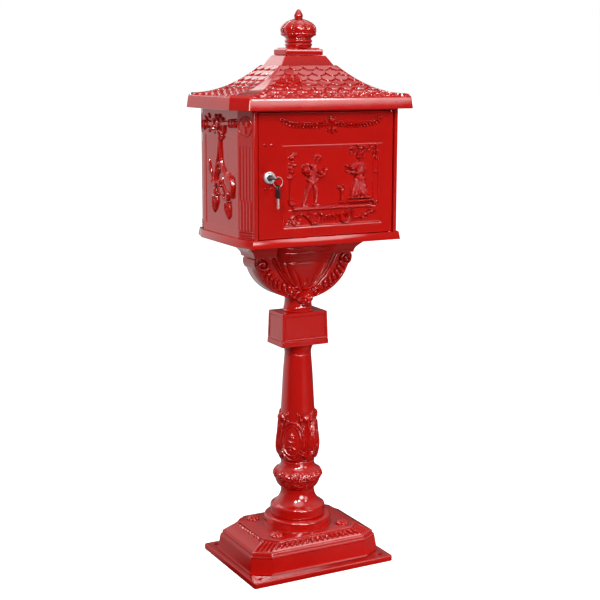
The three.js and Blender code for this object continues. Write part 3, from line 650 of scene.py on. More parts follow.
    def spiral(self, centre, start, turns, radius, height, angle):
        """A volute: a cord that winds in from radius start, ending in a boss."""
        sweep = np.linspace(0, 1, 14 * max(1, int(abs(turns) + 1)))
        angles = math.radians(angle) + 2 * math.pi * turns * sweep
        reach = start * (1 - 0.78 * sweep)
        path = np.column_stack(
            [centre[0] + reach * np.cos(angles), centre[1] + reach * np.sin(angles)]
        )
        self.stroke(path, (radius, radius, radius * 0.8), height, smooth=False)
        self.oval(centre, (start * 0.3, start * 0.3), height * 1.15)


def profile_values(value, place):
    """A number, or a (start, middle, end) triple, spread along places from 0 to 1."""
    if isinstance(value, (int, float)):
        return np.full(len(place), float(value))
    return np.interp(place, np.linspace(0, 1, len(value)), value)


# ---------- base casting ----------
FLANGE = (166.7, 128.0, 12.0)  # half sizes and thickness
BASE_PLAN = (155, 107, 39, 24.5)  # half sizes of the body and the cuts of its corners
LIP_SHRINK = 0.16  # how much smaller the corner cuts are at the foot of the bevel
ANCHOR_HOLE, ANCHORS = 5.75, (145, 109.5)
ROSETTES = (80, 57)
BEVEL_FOOT, BEVEL_TOP, BEVEL_SWELL = 58.0, 72.8, 1.0
BASE_COUNTS = [170, 46, 240, 46, 170, 46, 240, 46]
# inset, shrink of the corners and height, from the flange to the foot of the bevel
BASE_BODY = [(0.9, 0, 12.0), (0.9, 0, 12.8), (0.1, 0, 13.0), (4.0, 0, 43.6), (4.2, 0, 45.2)]
BASE_BODY += [(5.2, 0, 45.9), (5.2, 0, 46.9), (4.4, 0, 47.6), (4.6, 0, 48.6), (5.6, 0, 49.6)]
BASE_BODY += [(8.0, 0.08, 49.9), (8.5, 0.1, 51.0), (9.0, 0.12, 55.6), (9.6, 0.13, 56.9)]
BASE_BODY += [(11.4, 0.15, 57.7)]
# share of the plateau's outline and height, over its rounded edge
PLATEAU_EDGE = [(0.997, 73.2), (0.997, 75.9), (0.993, 76.7), (0.985, 77.0)]
# radius and height down the disc from the plateau to its top, and back through its hollow
BASE_DISC = [(76.5, 77.0), (73.7, 77.2), (72.9, 78.0), (72.7, 79.2), (72.7, 91.6), (71.8, 92.2)]
BASE_DISC += [(71.8, 93.2), (72.5, 93.8), (72.3, 95.4), (71.3, 97.2), (69.6, 98.6), (67.2, 99.3)]
BASE_DISC += [(64.4, 99.5), (7.0, 99.5), (6.6, 99.2), (6.6, 93.5), (63.0, 93.5), (64.7, 91.6)]
BASE_DISC += [(64.7, 71.0)]


def base_outline(inset, shrink=0.0):
    hx, hy, cut_x, cut_y = BASE_PLAN
    rest = 1 - shrink
    plan = octagon(hx - inset, hy - inset, cut_x * rest, cut_y * rest)
    return Ring(plan, BASE_COUNTS, 5.0).points


def base_ornament(ring, share):
    """Gadroons on the bevel's sides and slots on its corners; share is 0 at the lip, 1 on top."""
    corner = np.isin(ring.edge, (1, 3, 5, 7))
    long_side = np.isin(ring.edge, (2, 6))
    across = repeat(ring.along, 10.6)
    top = (share - 0.57) / 0.41
    crest = np.clip(1 - (across / 0.74) ** 2 - top**2, 0, 1) ** 0.5
    hollow = np.clip(1 - (across / 0.30) ** 2 - ((share - 0.64) / 0.28) ** 2, 0, 1) ** 0.5
    between = (1 - np.abs(across)) / 0.14
    dart = np.clip(1 - between**2 - ((share - 0.5) / 0.34) ** 2, 0, 1) ** 0.5
    gadroon = 4.2 * crest - 2.0 * hollow + 2.2 * dart
    across = repeat(ring.along, 11.4, 0)
    notch = np.clip(1 - (across / 0.56) ** 2 - ((share - 0.93) / 0.16) ** 2, 0, 1) ** 0.5
    comb = 1.6 * smoothstep(share, 0.74, 0.80) - 4.6 * notch
    across = repeat(ring.along, 8.6, 0)
    end = max(0.0, (abs(share - 0.5) - 0.34) / 0.12)
    slot = -4.4 * np.clip(1 - (across / 0.46) ** 2 - end**2, 0, 1) ** 0.5
    slot = slot * (np.abs(ring.along) < 17.2)
    return np.where(corner, slot, np.where(long_side, gadroon, comb)) * (ring.edge >= 0)


def build_base():
    hx, hy, top = FLANGE

    def flange(inset):
        return Ring(octagon(hx - inset, hy - inset, 3, 3), BASE_COUNTS, 3.0).points

    plateau = Ring(octagon(113.6, 85.6, 23, 25), BASE_COUNTS, 4.0)
    cut_x, cut_y = (cut * (1 - LIP_SHRINK) for cut in BASE_PLAN[2:])
    lip = Ring(octagon(142, 94, cut_x, cut_y), BASE_COUNTS, 4.0)
    rings = [
        level(flange(0) * 0.998, 0.0),
        level(flange(0), 0.8),
        level(flange(0), top - 1.6),
        level(lerp(flange(0), flange(1.4), 0.35), top - 0.5),
        level(flange(1.4), top),
        level(flange(2.6), top),
    ]
    rings += [level(base_outline(inset, shrink), z) for inset, shrink, z in BASE_BODY]
    for share in np.linspace(0, 1, 34):
        points = lerp(lip.points, plateau.points, share)
        z = lerp(BEVEL_FOOT, BEVEL_TOP, share) + BEVEL_SWELL * math.sin(math.pi * share)
        slope = level(plateau.normals * 0.55, 0.83)
        rings.append(level(points, z) + slope * base_ornament(plateau, share)[:, None])
    rings += [level(plateau.points * share, z) for share, z in PLATEAU_EDGE]
    rings += [level(circle_like(plateau.points, r), z) for r, z in BASE_DISC]
    rings += [
        level(Ring(octagon(110, 82, 23, 25), BASE_COUNTS, 3.0).points, 71.0),
        level(base_outline(14.0, 0.15), 50.0),
        level(base_outline(6.0), 0.0),
    ]
    base = loft("base_body", rings, red, hollow=True, crease=32.0)
    for place in corners(*ANCHORS):
        combine(base, rod("z", ANCHOR_HOLE, -2, 14, place, 40), "DIFFERENCE")
    for x, y in corners(*ROSETTES):
        combine(base, rosette(14.0, 8.6, (x, y, 76.8)), "UNION")
    return install(finish_mesh(base, 32.0), "root", "base_casting")


def rosette(radius, height, place):
    """A domed flower standing up from a surface."""
    petals = 7
    angle = turn_angles(petals * 14)
    notch = np.abs(np.cos(angle * petals / 2)) ** 0.7
    rings = []
    for share in np.linspace(0, 1, 18):
        out = 1 - share
        reach = radius * np.maximum(out * (1 - 0.14 * (1 - notch) * out), 0.004)
        dome = math.sqrt(1 - (0.97 * out) ** 2) ** 0.8
        groove = 0.16 * math.exp(-(((out - 0.34) / 0.07) ** 2))
        petal = 1 - 0.42 * (1 - notch) * smoothstep(np.array(out), 0.3, 0.5)
        z = place[2] + height * (dome * petal - groove)
        x = place[0] + reach * np.cos(angle)
        y = place[1] + reach * np.sin(angle)
        rings.append(np.column_stack([x, y, z]))
    foot = rings[0].copy()
    foot[:, 2] = place[2] - 1.5
    return loft("rosette", [foot, *rings], red)


build_base()


# ---------- column ----------
COLUMN_FOOT = [(57.2, 99.8), (58.4, 100.7), (59.0, 102.2), (59.2, 104.6), (59.2, 116.8)]
COLUMN_FOOT += [(58.9, 119.2), (58.0, 121.0), (57.0, 121.8)]
SCOTIA = [(56.2, 122.4), (49.6, 126.6), (43.8, 132.4), (39.2, 140.0), (36.6, 148.6), (36.0, 158.0)]
LOWER_BULB = [(36.4, 160.2), (40.6, 163.2), (45.8, 170.4), (49.6, 180.0), (50.6, 188.0)]
LOWER_BULB += [(49.6, 195.0), (46.0, 200.6), (40.6, 205.4), (37.0, 210.4), (35.8, 215.6)]
WAIST = [(35.6, 216.4), (36.4, 217.2), (36.6, 218.8), (36.0, 219.8), (34.8, 220.4)]
UPPER_BULB = [(34.6, 221.0), (38.8, 229.0), (43.0, 241.0), (45.0, 255.0), (44.6, 266.0)]
UPPER_BULB += [(42.6, 281.0), (40.2, 296.0), (38.4, 310.0), (37.2, 326.0), (36.4, 336.0)]
SHAFT = [(35.7, 345.0), (33.8, 380.0), (31.9, 413.7), (30.0, 438.0), (29.0, 450.0)]
SHAFT += [(28.6, 454.6), (28.0, 456.0)]


def lower_bulb_relief(angle, z):
    """Six broad lobes with a band of small leaves above them."""
    across = repeat(angle * 3, math.pi)
    lobe = hump(0.985 * across)
    reach = smoothstep(z, 160.5, 165) * (1 - smoothstep(z, 184, 189))
    height = reach * 6.0 * (lobe - 0.84)
    height = height + reach * 1.6 * hump((1 - np.abs(across)) / 0.07)
    band = Relief(((angle * 9 / math.pi) % 1.0 - 0.5) * 17.2, z)
    band.leaf((0, 184), (0, 201.5), 12.5, 3.6)
    band.oval((0, 188), (2.4, 3.2), 4.0)
    for x in (-8.6, 8.6):
        band.oval((x, 189), (2.4, 4.6), 2.4)
        band.oval((x, 198), (1.8, 1.8), 2.6)
    band.blend(1.5 * hump((z - 183.6) / 1.5))
    return np.where(band.height > 0.02, np.maximum(height, band.height), height)


def medallion(across, z):
    """An oval in two raised lines round a sprig, between the stalks of two leaves."""
    medal = Relief(across, z)
    medal.oval((0, 269.0), (27.0, 44.0), 1.3, power=0.25)
    medal.oval_ring((0, 269.0), (24.6, 41.6), 3.2, 4.2)
    medal.oval_ring((0, 270.5), (18.4, 32.4), 2.2, 3.0)
    for x, z0, turn, reach in (
        (0, 281, 90, 8), (0, 281, 30, 7), (0, 281, 150, 7), (0, 281, -30, 7), (0, 281, 210, 7),
        (-1, 268, 150, 9), (1, 265, 30, 9), (-1, 259, 205, 8), (1, 257, -25, 8),
    ):
        medal.sprig((x, z0), turn, reach, 5.2, 3.2)
    medal.oval((0, 281), (2.4, 2.4), 4.4)
    medal.oval((-2.5, 251), (3.4, 2.6), 3.4)
    medal.stroke([(0, 278), (1, 264), (-2, 252)], 1.0, 2.6)
    for side in (-1, 1):
        medal.stroke([(side * 17, 326), (side * 21, 308), (side * 28, 288)], (2.4, 1.8, 1.4), 3.4)
        medal.stroke([(side * 12, 330), (side * 14, 314), (side * 10, 313)], (2.0, 1.6, 1.2), 2.6)
    return medal.height


def column_leaf(across, z):
    """A tall leaf whose tip curls out into a ball."""
    leaf = Relief(across, z)
    leaf.leaf((0, 224), (0, 326), 24, 3.0, veins=False)
    for side in (-1, 1):
        for k, spread in enumerate((3.4, 7.0, 10.2)):
            line = ((0.5 * spread, 228), (spread, 252), (0.8 * spread, 290), (2.4, 314))
            leaf.stroke([(side * x, v) for x, v in line], (1.0, 1.8, 1.5, 1.2), 4.6 - 0.7 * k)
        for turn in (18, 40, 62):
            a = math.radians(90 - side * turn)
            tip = (side * 2 + 19 * math.cos(a), 236 + 21 * math.sin(a))
            leaf.leaf((side * 1.0, 234), tip, 5.4, 4.4, veins=False)
    leaf.stroke([(0, 226), (0, 300), (0, 318)], (1.6, 1.4, 2.4), 4.8)
    leaf.oval((0, 319.5), (11.0, 9.4), 10.0, power=0.5)
    for x in (-12.0, 12.0):
        leaf.oval((x, 315.6), (4.6, 5.4), 6.0)
    return leaf.height


COLUMN_SIDES, COLUMN_BORE = 360, 23
BULB_GAP = (216, 222)  # the plain waist between the two bulbs
MEDALLION_R, LEAF_R = 43.0, 41.0  # radii at which the ornament keeps its width


def column_relief(angle, z):
    """Height of the ornament on the column, over angle in radians and height in mm."""
    quarter = math.pi / 2
    diagonal = (angle % quarter) - quarter / 2
    axis = ((angle + quarter / 2) % quarter) - quarter / 2
    low, high = BULB_GAP
    upper = np.maximum(medallion(diagonal * MEDALLION_R, z), column_leaf(axis * LEAF_R, z))
    height = np.where(z < low, lower_bulb_relief(angle, z), 0.0)
    return np.where(z > high, np.maximum(height, upper), height)


def build_column():
    outline = np.vstack(
        [
            resample(COLUMN_FOOT, 1.2),
            resample(spline(SCOTIA, 4), 1.3),
            resample(spline(LOWER_BULB, 5), 0.9),
            resample(WAIST, 1.0),
            resample(spline(UPPER_BULB, 6), 1.1),
            resample(spline(SHAFT, 4), 6.0),
        ]
    )
    rings = turned_rings(outline, COLUMN_SIDES, column_relief)
    angle = turn_angles(COLUMN_SIDES)
    bore = np.column_stack([COLUMN_BORE * np.cos(angle), COLUMN_BORE * np.sin(angle)])
    inner = [level(bore, SHAFT[-1][1]), level(bore, COLUMN_FOOT[0][1])]
    column = loft("column_turned", np.concatenate([rings, inner]), red, hollow=True, crease=38.0)
    return install(column, "root", "column_shaft")


build_column()


# ---------- plinth block ----------
PLINTH_COUNTS = [56, 0, 84, 0, 56, 0, 84, 0]


PLINTH_FOOT, PLINTH_TOP = 477.0, 544.6
PLINTH_NECK = [(28.7, 458.6), (29.1, 462.6), (30.6, 469.0), (33.0, 473.8), (35.3, 476.6)]
PLINTH_HX, PLINTH_HY, PLINTH_DRAFT = 55.2, 36.1, 2.0


def plinth_ring(inset, z):
    draft = PLINTH_DRAFT * np.clip((z - PLINTH_FOOT) / (PLINTH_TOP - PLINTH_FOOT), 0, 1)
    outline = octagon(PLINTH_HX - draft - inset, PLINTH_HY - draft - inset, 1.2, 1.2)
    return Ring(outline, PLINTH_COUNTS, 1.6, 3)


def plinth_relief(ring, z):
    """Recessed panel with a stepped frame on each of the four faces."""
    half = np.where(np.isin(ring.edge, (2, 6)), 53.6, 34.6)
    inside_u = half - 6.2 - np.abs(ring.along)
    inside = np.minimum(inside_u, min(z - 492.5, 540.8 - z))
    depth = -1.3 * smoothstep(inside, 0, 0.7)
    ridge = 0.35 * np.clip(1 - ((inside + 1.4) / 0.9) ** 2, 0, 1)
    return np.where(ring.edge >= 0, depth + ridge, 0.0)


def build_plinth():
    heights = [477.0, 477.4, 478.2]
    heights += list(np.linspace(479.0, 487.6, 6))
    heights += list(np.linspace(488.4, 546.4, 60))
    foot = plinth_ring(0, PLINTH_FOOT).points
    neck = [(ROD_WAY, 456.3), (28.0, 456.3), (28.7, 457.0), *spline(PLINTH_NECK, 4)]
    rings = [level(circle_like(foot, r), z) for r, z in neck]
    rings.append(level(plinth_ring(1.2, PLINTH_FOOT).points, 476.8))
    for z in heights:
        ring = plinth_ring(0.6 if z < 477.2 else 0.0, z)
        swell = 0.9 - 0.45 * smoothstep(z, 487.6, 488.8)
        swell = swell - 1.0 * math.exp(-(((z - 488.4) / 0.7) ** 2))
        out = plinth_relief(ring, z) + swell - 0.9
        points = ring.points + ring.normals * out[:, None]
        rings.append(level(points, z))
    for inset, z in ((0.9, 546.9), (1.1, 547.3), (1.6, 547.6), (2.8, 547.6)):
        rings.append(level(plinth_ring(inset, PLINTH_TOP).points, z))
    rings.append(level(circle_like(foot, ROD_WAY), 547.6))
    plinth = loft("plinth_cast", rings, red, hollow=True, crease=35.0)
    return install(plinth, "root", "plinth_block")


build_plinth()


# ---------- bracket ----------
BOWL_A, BOWL_B, BOWL_Z, BOWL_TOP, BOWL_Y = 111.0, 90.0, 666.0, 668.7, 32.0


def half_bowl(x, z):
    """How far the central cup stands out of the bracket's face."""
    share = np.clip((z - 598) / (BOWL_TOP - 598), 0, 1)
    profile = np.interp(share, [0, 0.08, 0.34, 0.66, 1.0], [14, 24, 42, 56, 63])
    place = np.clip(x / profile, -1, 1)
    out = 0.30 * profile * np.sqrt(1 - place**2) - 2.0
    end = 0.40 + 0.55 * smoothstep(np.abs(place), 0.30, 0.80)
    reach = smoothstep(share, 0.0, 0.05) * np.clip((end - share) / 0.22, 0, 1)
    flutes = np.abs(np.sin(np.arcsin(place) * 7.0))
    out = out - 3.2 * (1 - flutes**0.6) * reach
    rim = smoothstep(share, 0.86, 0.88)
    line = np.clip(1 - ((share - 0.83) / 0.03) ** 2, 0, 1)
    return np.where(z >= 597, out + 1.2 * rim - 1.4 * line, 0.0)


RIB_LINE = [(76, 667), (64, 645), (50, 624), (33, 607), (18, 595)]


def bowl_point(side, angle, inset):
    """A point on the half ellipse moved in by inset; angle is 0 at the top end."""
    return (side * (BOWL_A - inset) * math.cos(angle), BOWL_Z - (BOWL_B - inset) * math.sin(angle))


def bracket_relief(x, z):
    relief = Relief(x, z)
    for side in (-1, 1):
        sweep = np.linspace(0.06, 1.34, 10)
        relief.stroke([(side * px, pz) for px, pz in RIB_LINE], 2.4, 4.6)
        relief.stroke([(side * (px - 5.6), pz + 2.0) for px, pz in RIB_LINE], 1.8, 3.6)
        relief.stroke([bowl_point(side, a, 7.0) for a in sweep], 1.3, 2.4)
        for angle in np.linspace(0.29, 1.16, 7):
            px, pz = bowl_point(side, angle, 18.0)
            along = (-side * math.sin(angle) * BOWL_A, -math.cos(angle) * BOWL_B)
            tangent = math.degrees(math.atan2(along[1], along[0]))
            relief.oval((px, pz), (11.0, 4.9), 6.4, tangent + side * 68, power=0.5)
            for inset, shift, size in ((9.6, 0.075, 2.9), (15.0, 0.03, 2.5), (20.4, -0.015, 2.3)):
                qx, qz = bowl_point(side, angle + shift, inset)
                relief.oval((qx, qz), (size, size), 8.2, power=0.5)
        relief.spiral((side * 97, 655), 13.0, side * 1.4, 3.0, 7.4, angle=90)
        relief.oval((side * 97, 655), (5.0, 5.0), 9.4, power=0.5)
        relief.spiral((side * 27, 589), 9.0, -side * 1.2, 2.6, 6.4, angle=120 if side > 0 else 60)
        relief.stroke([(side * 34, 599), (side * 22, 603), (side * 10, 599)], (1.6, 2.6, 1.8), 5.2)
    for lean in (-36, -18, 0, 18, 36):
        a = math.radians(90 + lean)
        tip = (4 * lean / 15 + 13 * math.cos(a), 598 + 16 * math.sin(a))
        relief.leaf((lean / 6, 596), tip, 5.4, 8.0, veins=False)
    return np.maximum(relief.height, half_bowl(x, z))


def bracket_face(side):
    """Grid of points on the front (-1) or back (+1) of the D-shaped bracket."""
    share = np.linspace(0.0, 1.0, 120) ** 0.85
    angle = np.linspace(0, math.pi, 330)
    grid_share, grid_angle = np.meshgrid(share, angle, indexing="ij")
    x = -BOWL_A * grid_share * np.cos(grid_angle)
    z = BOWL_TOP - (BOWL_TOP - BOWL_Z + BOWL_B) * grid_share * np.sin(grid_angle)
    relief = bracket_relief(x, z)
    rim = (1 - grid_share) * 90
    round_edge = -1.6 * np.clip(1 - rim / 1.6, 0, 1) ** 2
    fade = np.clip(rim / 1.2, 0, 1)
    y = side * (BOWL_Y - 3.2 + relief * fade + round_edge)
    roll = 5.5 * np.sqrt(np.clip(1 - ((z - 656.0) / 12.0) ** 2, 0, 1))
    x = x + np.sign(x) * roll * grid_share**9
    return np.stack([x, y, z], axis=-1)


BOSS_Z = 580.0
BRACKET_NECK = [(31.2, 547.9), (32.2, 548.8), (32.3, 550.6), (31.4, 551.6), (30.5, 552.2)]
BRACKET_NECK += [(30.4, 554.0), (31.0, 554.8), (31.0, 556.2), (30.2, 557.2), (29.6, 559.4)]
BRACKET_NECK += [(29.3, 563.0), (28.6, 568.0), (28.4, 576.0), (28.4, 588.0)]


def bracket_boss(side):
    """A big closed flower over the foot of the ribs, facing out on one side."""
    count = 90
    angle = turn_angles(count)
    notch = np.abs(np.cos(angle * 5 / 2)) ** 0.7
    foot = (14 * np.cos(angle), np.full(count, side * 18.0), BOSS_Z + 14 * np.sin(angle))
    rings = [np.column_stack(foot)]
    for share in np.linspace(0, 1, 18):
        out = math.cos(share * math.pi / 2)
        reach = 17.0 * np.maximum(out * (1 - 0.06 * (1 - notch) * out), 0.004)
        ridge = 1 - 0.09 * (1 - notch) * smoothstep(np.array(out), 0.25, 0.5)
        ridge = ridge - 0.10 * math.exp(-(((out - 0.36) / 0.08) ** 2))
        y = 28 + 24 * math.sin(share * math.pi / 2) * ridge
        rings.append(
            np.column_stack([reach * np.cos(angle), side * y, BOSS_Z + reach * np.sin(angle)])
        )
    return loft("boss", rings, red)


def build_bracket():
    bracket = sheet("bracket_cast", bracket_face(-1), bracket_face(1), red, crease=38.0)
    inner_angle = np.linspace(0, math.pi, 90)
    pocket = []
    for y in (-(BOWL_Y - 8), BOWL_Y - 8):
        x = -(BOWL_A - 7) * np.cos(inner_angle)
        z = BOWL_Z - (BOWL_B - 7) * np.sin(inner_angle)
        x = np.append(x, [BOWL_A - 7, -(BOWL_A - 7)])
        z = np.append(z, [BOWL_TOP + 2, BOWL_TOP + 2])
        pocket.append(np.column_stack([x, np.full(len(x), y), z]))
    combine(bracket, loft("tool", pocket, red), "DIFFERENCE")
    combine(bracket, lathe("neck", BRACKET_NECK, red), "UNION")
    for side in (-1, 1):
        combine(bracket, bracket_boss(side), "UNION")
    combine(bracket, rod("z", ROD_WAY, 540, 700), "DIFFERENCE")
    return install(finish_mesh(bracket, 38.0), "root", "bowl_bracket")


build_bracket()


# ---------- cornice under the cabinet ----------
CORNICE_COUNTS = [54, 0, 190, 0, 54, 0, 190, 0]
CORNICE_END = 0.86  # share of the sweep at which the rim starts
TRAY_BOLTS, BOLT_WAY = (100, 21), 3.4


def cornice_ring(share, inset=0.0):
    s = share - 0.13 * math.sin(2 * math.pi * share)
    outline = octagon(lerp(117, 140, s) - inset, lerp(33, 50, s) - inset, 0.8, 0.8)
    return Ring(outline, CORNICE_COUNTS, 1.2, 2)


def build_cornice():
    rings = []
    for share in np.linspace(0, CORNICE_END, 46):
        ring = cornice_ring(share)
        band, place = divmod(share / CORNICE_END * 3, 1.0)
        crest = math.sqrt(max(0.0, 1 - (2 * place - 1) ** 6))
        depth = 51.5 + 3.0 * min(band, 2) + 2.4 * crest - abs(ring.points[:, 1]).max()
        width = 64.5 + 1.6 * min(band, 2) + 1.4 * crest
        out = np.where(np.isin(ring.edge, (2, 6)), depth * hump(ring.along / width), 0.0)
        rings.append(level(ring.points + ring.normals * out[:, None], 669 + share * 35.7))
    rim = cornice_ring(CORNICE_END, -0.6)
    rings += [
        level(rim.points, 700.2),
        level(rim.points, 703.9),
        level(cornice_ring(CORNICE_END, 0.2).points, 704.7),
        level(circle_like(rim.points, ROD_WAY), 704.7),
        level(circle_like(rim.points, ROD_WAY), 699.6),
        level(cornice_ring(0.80, 8).points, 699.6),
        level(cornice_ring(0.4, 8).points, 684.0),
        level(cornice_ring(0.0, 8).points, 669.0),
    ]
    cornice = loft("cornice_cast", rings, red, hollow=True, crease=35.0)
    for place in corners(*TRAY_BOLTS):
        combine(cornice, rod("z", BOLT_WAY, 690, 710, place), "DIFFERENCE")
    return install(finish_mesh(cornice, 35.0), "root", "bracket_cornice")


build_cornice()


# ---------- roof ----------
ROOF_COUNTS = [190, 16, 270, 16, 190, 16, 270, 16]
BEND = 0.09  # share of the slope taken by the steep neck
ROOF_TOP, ROOF_BEND_Z, ROOF_EDGE_Z = 1077.5, 1057.7, 998.0
SLOPE_RUN = 111.3  # how far the slope reaches out in plan
SWEEP = 2.05  # exponent of the concave sweep
ROOF_WALL = 5
ROOF_SCREWS = (166, 55)
ROOF_CUT_X, ROOF_CUT_Y = 21, 46


def roof_height(t):
    if t <= BEND:
        return lerp(ROOF_TOP, ROOF_BEND_Z, t / BEND)
    return ROOF_EDGE_Z + (ROOF_BEND_Z - ROOF_EDGE_Z) * ((1 - t) / (1 - BEND)) ** SWEEP


def roof_ring(t, inset=0.0):
    """Outline of the roof at share t down its slope."""
    spread = max((t - BEND) / (1 - BEND), 0.04)
    hx, hy = lerp(46.5, 200.3, t) - inset, lerp(32.1, 143.4, t) - inset
    return Ring(octagon(hx, hy, ROOF_CUT_X * spread, ROOF_CUT_Y * spread), ROOF_COUNTS, 1.0, 2)


def eave_ring(inset, z):
    outline = octagon(205.3 - inset, 148.6 - inset, ROOF_CUT_X, ROOF_CUT_Y)
    return level(Ring(outline, ROOF_COUNTS, 2.5, 2).points, z)


SHINGLE_WIDTH = 31.0
SHINGLE_ROWS = 8
SHINGLE_SAG = 12.5
SHINGLE_LIFT = 4.4


def shingles(along, distance, length):
    """Height of overlapping round-ended shingles; distance runs down the slope."""
    exposure = length / SHINGLE_ROWS
    height = np.zeros_like(along)
    free = np.ones_like(along, dtype=bool)
    for row in range(SHINGLE_ROWS):
        tip = (row + 1) * exposure
        shift = (row % 2) * 0.5
        offset = repeat(along, SHINGLE_WIDTH, shift + 0.5)
        edge = tip - SHINGLE_SAG * (1 - np.sqrt(np.clip(1 - offset**2 * 0.96, 0, 1)))
        covered = free & (distance <= edge)
        depth = edge - distance
        lift = SHINGLE_LIFT * np.clip(1 - depth / (exposure * 1.9), 0.1, 1)
        lift = lift * np.clip(depth / 1.0 + 0.5, 0, 1) * (1 - 0.22 * offset**2)
        height[covered] = lift[covered]
        free &= ~covered
    return height


FINE = 0.002  # step in t for the slope's length
COARSE = 0.01  # step in t for the slope's tilt
ROW_LENGTH = 1.25  # mm of slope between two rings


def slope_rings():
    """Shares t down the slope at about equal lengths, and the length down to each."""
    shares, t = [], BEND
    while t < 1:
        shares.append(t)
        drop = abs(roof_height(min(1, t + FINE)) - roof_height(t))
        t += ROW_LENGTH * FINE / math.hypot(drop, FINE * SLOPE_RUN)
    shares.append(1.0)
    down = [0.0]
    for a, b in zip(shares[:-1], shares[1:]):
        down.append(down[-1] + math.hypot(SLOPE_RUN * (b - a), roof_height(b) - roof_height(a)))
    return shares, down


def build_roof():
    outside = ((0, 973.2), (0, 974.0), (1.9, 989.4), (2.9, 996.6), (3.7, 997.8))
    rings = [eave_ring(inset, z) for inset, z in outside]
    shares, lengths = slope_rings()
    total = lengths[-1]
    for t, down in list(zip(shares, lengths))[::-1]:
        ring = roof_ring(t)
        hip = ~np.isin(ring.edge, (0, 2, 4, 6))
        lift = shingles(ring.along, np.full(len(ring.along), down), total)
        lift = np.where(hip, SHINGLE_LIFT * 0.9, lift)
        lift = lift * smoothstep(down, 0, 2.0) * (0.3 + 0.7 * smoothstep(total - down, 0, 1.5))
        slope = abs(roof_height(min(1, t + COARSE)) - roof_height(max(0, t - COARSE)))
        tilt = math.atan2(slope, 2 * COARSE * SLOPE_RUN if BEND < t < 0.99 else 1.2)
        push = level(ring.normals * math.sin(tilt), math.cos(tilt))
        rings.append(level(ring.points, roof_height(t)) + push * lift[:, None])
    for t, z in ((0.082, 1059.6), (0.012, 1074.8), (0.004, 1076.8)):
        rings.append(level(roof_ring(t).points, z))
    top_hole = circle_like(roof_ring(0.0).points, STUD_WAY)
    rings += [level(roof_ring(0.0, 1.4).points, ROOF_TOP), level(top_hole, ROOF_TOP)]
    rings.append(level(top_hole, roof_height(0.035) - ROOF_WALL))
    for t in (0.035, BEND, 0.15, 0.3, 0.5, 0.76):
        rings.append(level(roof_ring(t, ROOF_WALL).points, roof_height(t) - ROOF_WALL))
    rings.append(level(roof_ring(0.76, ROOF_WALL).points, 985.3))
    rings += [eave_ring(inset, z) for inset, z in ((10, 985.3), (8, 972.6), (0.8, 972.6))]
    roof = loft("roof_cast", rings, red, hollow=True, crease=32.0)
    for place in corners(*ROOF_SCREWS):
        combine(roof, rod("z", SCREW_WAY, 980, 996.5, place, 16), "DIFFERENCE")
    return install(finish_mesh(roof, 32.0), "root", "roof_shell")


build_roof()


# ---------- door ----------
HINGE_AT = (148.5, -121.5)
DOOR_LEFT, DOOR_BOTTOM, DOOR_TOP = -153.5, 722.2, 968.0
DOOR_FRONT = -126.3
DOOR_BACK = -122.3
LOCK_X, LOCK_Z = -131.0, 843.0
HINGE_WAY, LOCK_WAY = 2.3, 9.5
SCENE_FIELD = (-101.5, 126.5, 740.5, 902.5)  # the sunk field with its moulded edge
RELIEF_SCALE = 1.9  # the scene's ornament is written low and raised by this


def garland(relief):
    """Two leafy swags with a fan and a pendant between them."""
    for side in (-1, 1):
        count = 14
        for k in range(count):
            share = k / (count - 1)
            x = 8 + side * (13 + share * 95)
            sag = 2.6 * math.sin(math.pi * min(1.0, share * 1.25))
            z = 944.5 - sag + 7.0 * max(0.0, share - 0.8) / 0.2
            relief.leaf((x - side * 3.6, z - 1.0), (x + side * 3.6, z + 5.6), 4.4, 3.4, veins=False)
            relief.leaf((x, z + 1.0), (x + side * 2.0, z - 6.4), 4.4, 2.0, veins=False)
            relief.oval((x + side * 1.6, z + 3.6), (1.5, 1.5), 3.9)
        end = 8 + side * 111
        relief.leaf((end - side * 4, 950), (end + side * 5, 954), 3.6, 2.2, veins=False)
        relief.spiral((8 + side * 8.2, 946), 4.0, side * 1.1, 1.2, 2.8, angle=90)
    for lean in (-64, -32, 0, 32, 64):
        relief.sprig((8, 950), 90 + lean, 10.5, 5.0, 3.0)
    relief.oval((8, 949), (3.0, 3.0), 3.8)
    for x, z, lean in ((8, 939, 0), (2, 936, -30), (14, 936, 30), (8, 933, 0)):
        relief.sprig((x, z), -90 + lean, 8, 5.0, 2.8)
    relief.stroke([(8, 946), (8, 936)], 1.3, 2.4)


